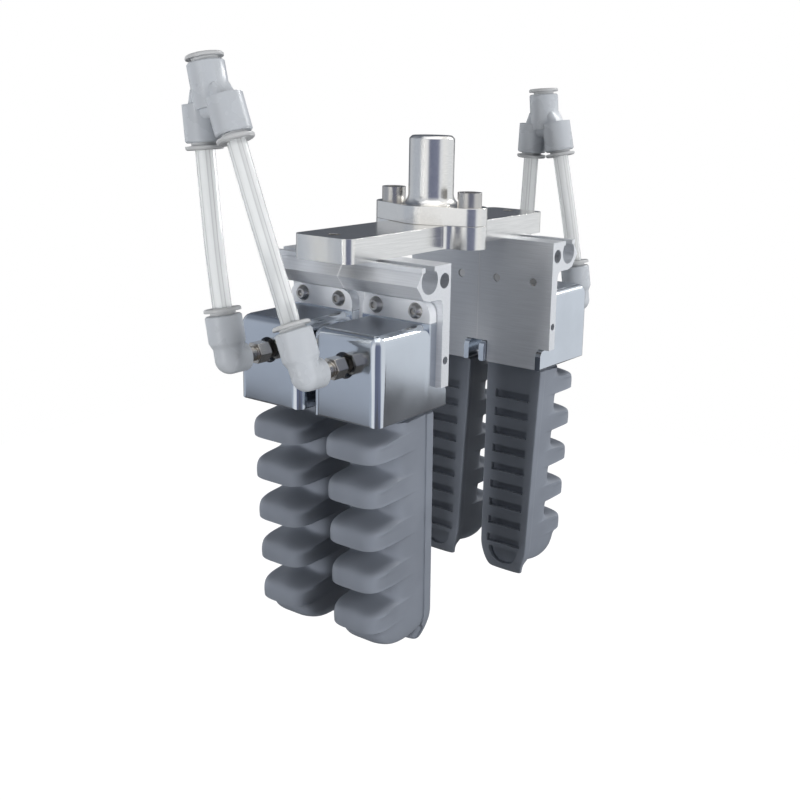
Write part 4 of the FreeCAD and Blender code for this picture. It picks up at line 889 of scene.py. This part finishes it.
def place_camera(context, studio):
    """Camera at the photograph's viewing angle, with its roll and shift."""
    azimuth, elevation, roll = studio.azimuth, studio.elevation, studio.roll
    level = math.cos(elevation)
    back = Vector((math.sin(azimuth) * level, -math.cos(azimuth) * level, math.sin(elevation)))
    right = Vector((math.cos(azimuth), math.sin(azimuth), 0.0))
    up = back.cross(right)
    rolled_right = right * math.cos(roll) + up * math.sin(roll)
    rolled_up = up * math.cos(roll) - right * math.sin(roll)
    lens = bpy.data.cameras.new("camera")
    lens.lens = studio.focal
    lens.sensor_width = 36.0
    lens.shift_x, lens.shift_y = studio.shift
    lens.dof.use_dof = False
    lens.clip_end = 20.0
    camera = new_object("camera", lens)
    turn = Matrix((rolled_right, rolled_up, back)).transposed().to_4x4()
    camera.matrix_world = Matrix.Translation(Vector(studio.target) + back * studio.distance) @ turn
    context.scene.camera = camera


# Soft boxes: place, size, watts, and whether gloss sees them. A small one lights the edges; the rest
# stand above, at the camera's left and right, and behind.
LAMPS = {
    "edge_box": ((0.75, -0.25, 0.50), (0.22, 0.22), 2.8, True),
    "top_box": ((-0.1, -0.1, 0.9), (0.9, 0.9), 2.0, True),
    "left_box": ((-0.95, 0.0, -0.12), (0.18, 0.6), 5.4, False),
    "right_box": ((0.10, -0.95, -0.05), (0.4, 0.7), 7.4, False),
    "rear_box": ((-0.1, 0.95, 0.2), (0.6, 0.8), 4.0, False),
}
# The gripper's middle, which the lamps face.
LAMP_TARGET = Vector((0.0, 0.0, -0.07))


def place_lamps(studio):
    """The soft boxes, each turned toward the gripper."""
    for name, (place, size, power, in_gloss) in LAMPS.items():
        lamp = bpy.data.lights.new(name, "AREA")
        lamp.shape = "RECTANGLE"
        lamp.size, lamp.size_y = size
        lamp.energy = power * studio.lamp_power
        thing = new_object(name, lamp)
        turn = (LAMP_TARGET - Vector(place)).to_track_quat("-Z", "Y").to_matrix().to_4x4()
        thing.matrix_world = Matrix.Translation(place) @ turn
        thing.visible_glossy = in_gloss


# What gloss sees round the horizon, as shares of a turn with the tint there: pale walls, dark flags.
WALL_BANDS = (
    (0.0, (0.96, 0.97, 0.98)),
    (1.0, (0.96, 0.97, 0.98)),
    (0.04, (0.90, 0.92, 0.96)),
    (0.07, (0.17, 0.19, 0.27)),
    (0.19, (0.20, 0.22, 0.31)),
    (0.235, (0.80, 0.83, 0.88)),
    (0.28, (0.86, 0.88, 0.90)),
    (0.40, (0.78, 0.81, 0.85)),
    (0.48, (0.78, 0.80, 0.83)),
    (0.54, (0.12, 0.13, 0.15)),
    (0.66, (0.10, 0.11, 0.13)),
    (0.75, (0.52, 0.55, 0.60)),
    (0.85, (0.45, 0.49, 0.56)),
    (0.94, (0.47, 0.51, 0.58)),
    (0.965, (0.90, 0.92, 0.96)),
)
# The same above the walls: light over the camera's right, dark beyond the gripper.
CEILING_BANDS = (
    (0.0, (0.62, 0.64, 0.68)),
    (1.0, (0.62, 0.64, 0.68)),
    (0.30, (0.80, 0.82, 0.86)),
    (0.36, (1.0, 1.0, 1.0)),
    (0.50, (1.0, 1.0, 1.0)),
    (0.58, (0.14, 0.16, 0.20)),
    (0.82, (0.14, 0.16, 0.20)),
    (0.89, (0.60, 0.63, 0.68)),
)


def place_sky(context, studio):
    """White background for the camera, and a studio of pale walls and darker flags for gloss."""
    world = bpy.data.worlds.new("studio")
    context.scene.world = world
    world.use_nodes = True
    tree = world.node_tree
    path = tree.nodes.new("ShaderNodeLightPath").outputs
    around = coordinates(tree, "Generated")
    turn = tree.nodes.new("ShaderNodeTexGradient")
    turn.gradient_type = "RADIAL"
    tree.links.new(around, turn.inputs["Vector"])
    walls = bands(tree, turn.outputs["Fac"], WALL_BANDS)
    ceiling = bands(tree, turn.outputs["Fac"], CEILING_BANDS)
    upward = spread(tree, axes(tree, around)["Z"], (0.25, 0.85))
    gloss = mixed(tree, upward, walls, ceiling)
    even = (studio.world_light, studio.world_light, studio.world_light)
    light = mixed(tree, path["Is Glossy Ray"], even, gloss)
    direct = calculated(tree, "MAXIMUM", path["Is Camera Ray"], path["Is Transmission Ray"])
    seen = mixed(tree, direct, light, (1.0, 1.0, 1.0))
    tree.links.new(seen, tree.nodes["Background"].inputs["Color"])


# The floor: half its side and its drop below the gripper, in metres, how bright the camera sees it,
# and the colour that the light meets.
FLOOR_HALF = 0.6
FLOOR_DROP = 0.12
FLOOR_GLOW = 0.93
FLOOR_COLOUR = (0.14, 0.14, 0.145)


def place_floor():
    """White floor under the hanging gripper, which keeps a faint shadow."""
    shape = bmesh.new()
    bmesh.ops.create_grid(shape, x_segments=1, y_segments=1, size=FLOOR_HALF)
    floor = mesh_object("floor", shape)
    floor.data.transform(Matrix.Translation((0.0, 0.0, CAD_BOX[0][2] - FLOOR_DROP)))
    recipe = Recipe("floor", FLOOR_COLOUR, 0.9)
    tree = recipe.tree
    seen = tree.nodes.new("ShaderNodeLightPath").outputs["Is Camera Ray"]
    recipe.shader.inputs["Emission Color"].default_value = (1.0, 1.0, 1.0, 1.0)
    glow = calculated(tree, "MULTIPLY", seen, FLOOR_GLOW)
    tree.links.new(glow, recipe.shader.inputs["Emission Strength"])
    floor.data.materials.append(recipe.material)


class GripperOperator:
    """What the gripper's operators share."""

    bl_options = {"REGISTER", "UNDO"}


class GRIPPER_OT_stage(GripperOperator, bpy.types.Operator):
    """Set up the camera, the lamps, the sky and the floor"""

    bl_idname = "gripper.stage"
    bl_label = "Stage"

    def execute(self, context):
        studio = context.scene.gripper_studio
        place_camera(context, studio)
        place_lamps(studio)
        place_sky(context, studio)
        place_floor()
        return {"FINISHED"}


class GRIPPER_OT_metal(GripperOperator, bpy.types.Operator):
    """Finish the crossbar, shaft, brackets, blocks and screws"""

    bl_idname = "gripper.metal"
    bl_label = "Metal"

    def execute(self, context):
        finish = context.scene.gripper_finish
        sizes = context.scene.gripper_block
        bar = brushed_material("brushed_bar", finish.bar_metal, (0.03, 1.0, 1.0), 0.2, strength=0.02)
        bracket = bracket_material(finish)
        block = block_material(finish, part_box("finger_block_left_front")[1][2] - sizes.lug_rise)
        screw = cast_material("screw_steel", finish.screw_metal, 0.3)
        inner = cast_material("insert_metal", finish.bar_metal, 0.35)
        dressed("crossbar", bar, BROAD_BEVEL)
        dressed("robot_shaft", bar, BROAD_BEVEL)
        dressed("flange_screws", screw, HEAD_BEVEL)
        for side in SIDES:
            dressed(f"clamp_screws_{side}", screw, FINE_BEVEL)
        for side, row in CORNERS:
            dressed(f"bracket_{side}_{row}", bracket, FINE_BEVEL)
            dressed(f"finger_block_{side}_{row}", block, BROAD_BEVEL,
                    shape=soft_block(sizes, side, row))
            dressed(f"block_screws_{side}_{row}", screw, FINE_BEVEL)
            dressed(f"root_insert_{side}_{row}", inner, FINE_BEVEL)
        return {"FINISHED"}


class GRIPPER_OT_fittings(GripperOperator, bpy.types.Operator):
    """Finish the studs, elbows, Y blocks, release collars and seals"""

    bl_idname = "gripper.fittings"
    bl_label = "Fittings"

    def execute(self, context):
        finish = context.scene.gripper_finish
        plastic = plastic_material("fitting_plastic", finish.plastic, 0.28)
        ring = plastic_material("collar_plastic", finish.ring, 0.35)
        nickel = cast_material("nickel_stud", finish.stud_metal, 0.2)
        seal = plastic_material("seal_rubber", finish.seal, 0.6)
        for side in SIDES:
            dressed(f"y_union_{side}", plastic, MOULDED_BEVEL, 3)
            for leg in ("rear", "front", "supply"):
                dressed(f"union_collar_{side}_{leg}", ring, COLLAR_BEVEL)
        for side, row in CORNERS:
            dressed(f"elbow_body_{side}_{row}", plastic, MOULDED_BEVEL, 3)
            dressed(f"release_collar_{side}_{row}", ring, COLLAR_BEVEL)
            dressed(f"fitting_stud_{side}_{row}", nickel, HEAD_BEVEL)
            dressed(f"port_seal_{side}_{row}", seal, SEAL_BEVEL)
        return {"FINISHED"}


class GRIPPER_OT_fingers(GripperOperator, bpy.types.Operator):
    """Build the four silicone fingers with their roots"""

    bl_idname = "gripper.fingers"
    bl_label = "Fingers"

    def execute(self, context):
        rubber = rubber_material(context.scene.gripper_finish)
        build_fingers(context.scene.gripper_finger, rubber)
        return {"FINISHED"}


class GRIPPER_OT_tubes(GripperOperator, bpy.types.Operator):
    """Lay the four air tubes"""

    bl_idname = "gripper.tubes"
    bl_label = "Tubes"

    def execute(self, context):
        build_tubes(tube_material(context.scene.gripper_finish))
        return {"FINISHED"}


class GRIPPER_PT_panel(bpy.types.Panel):
    """Lists the gripper's settings and steps"""

    bl_idname = "GRIPPER_PT_panel"
    bl_label = "Gripper"
    bl_space_type = "VIEW_3D"
    bl_region_type = "UI"
    bl_category = "Gripper"

    def draw(self, context):
        for key in GROUPS:
            group = getattr(context.scene, key)
            box = self.layout.box()
            for name in group.__annotations__:
                box.prop(group, name)
        for operator in OPERATORS:
            self.layout.operator(operator.bl_idname)


OPERATORS = (GRIPPER_OT_stage, GRIPPER_OT_metal, GRIPPER_OT_fittings, GRIPPER_OT_tubes,
             GRIPPER_OT_fingers)
GROUPS = {"gripper_finger": GripperFinger, "gripper_block": GripperBlock,
          "gripper_finish": GripperFinish, "gripper_studio": GripperStudio}
CLASSES = (*GROUPS.values(), *OPERATORS, GRIPPER_PT_panel)


def register():
    """Makes the classes known and hangs their settings on the scene."""
    for cls in CLASSES:
        bpy.utils.register_class(cls)
    for key, group in GROUPS.items():
        setattr(bpy.types.Scene, key, PointerProperty(type=group))


def unregister():
    """Takes the settings and classes back."""
    for key in GROUPS:
        delattr(bpy.types.Scene, key)
    for cls in reversed(CLASSES):
        bpy.utils.unregister_class(cls)


def main():
    """Registers the add-on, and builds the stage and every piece."""
    register()
    bpy.context.scene.view_settings.view_transform = "Standard"
    bpy.ops.gripper.stage()
    bpy.ops.gripper.metal()
    bpy.ops.gripper.fittings()
    bpy.ops.gripper.tubes()
    bpy.ops.gripper.fingers()


if __name__ == "__main__":
    main()
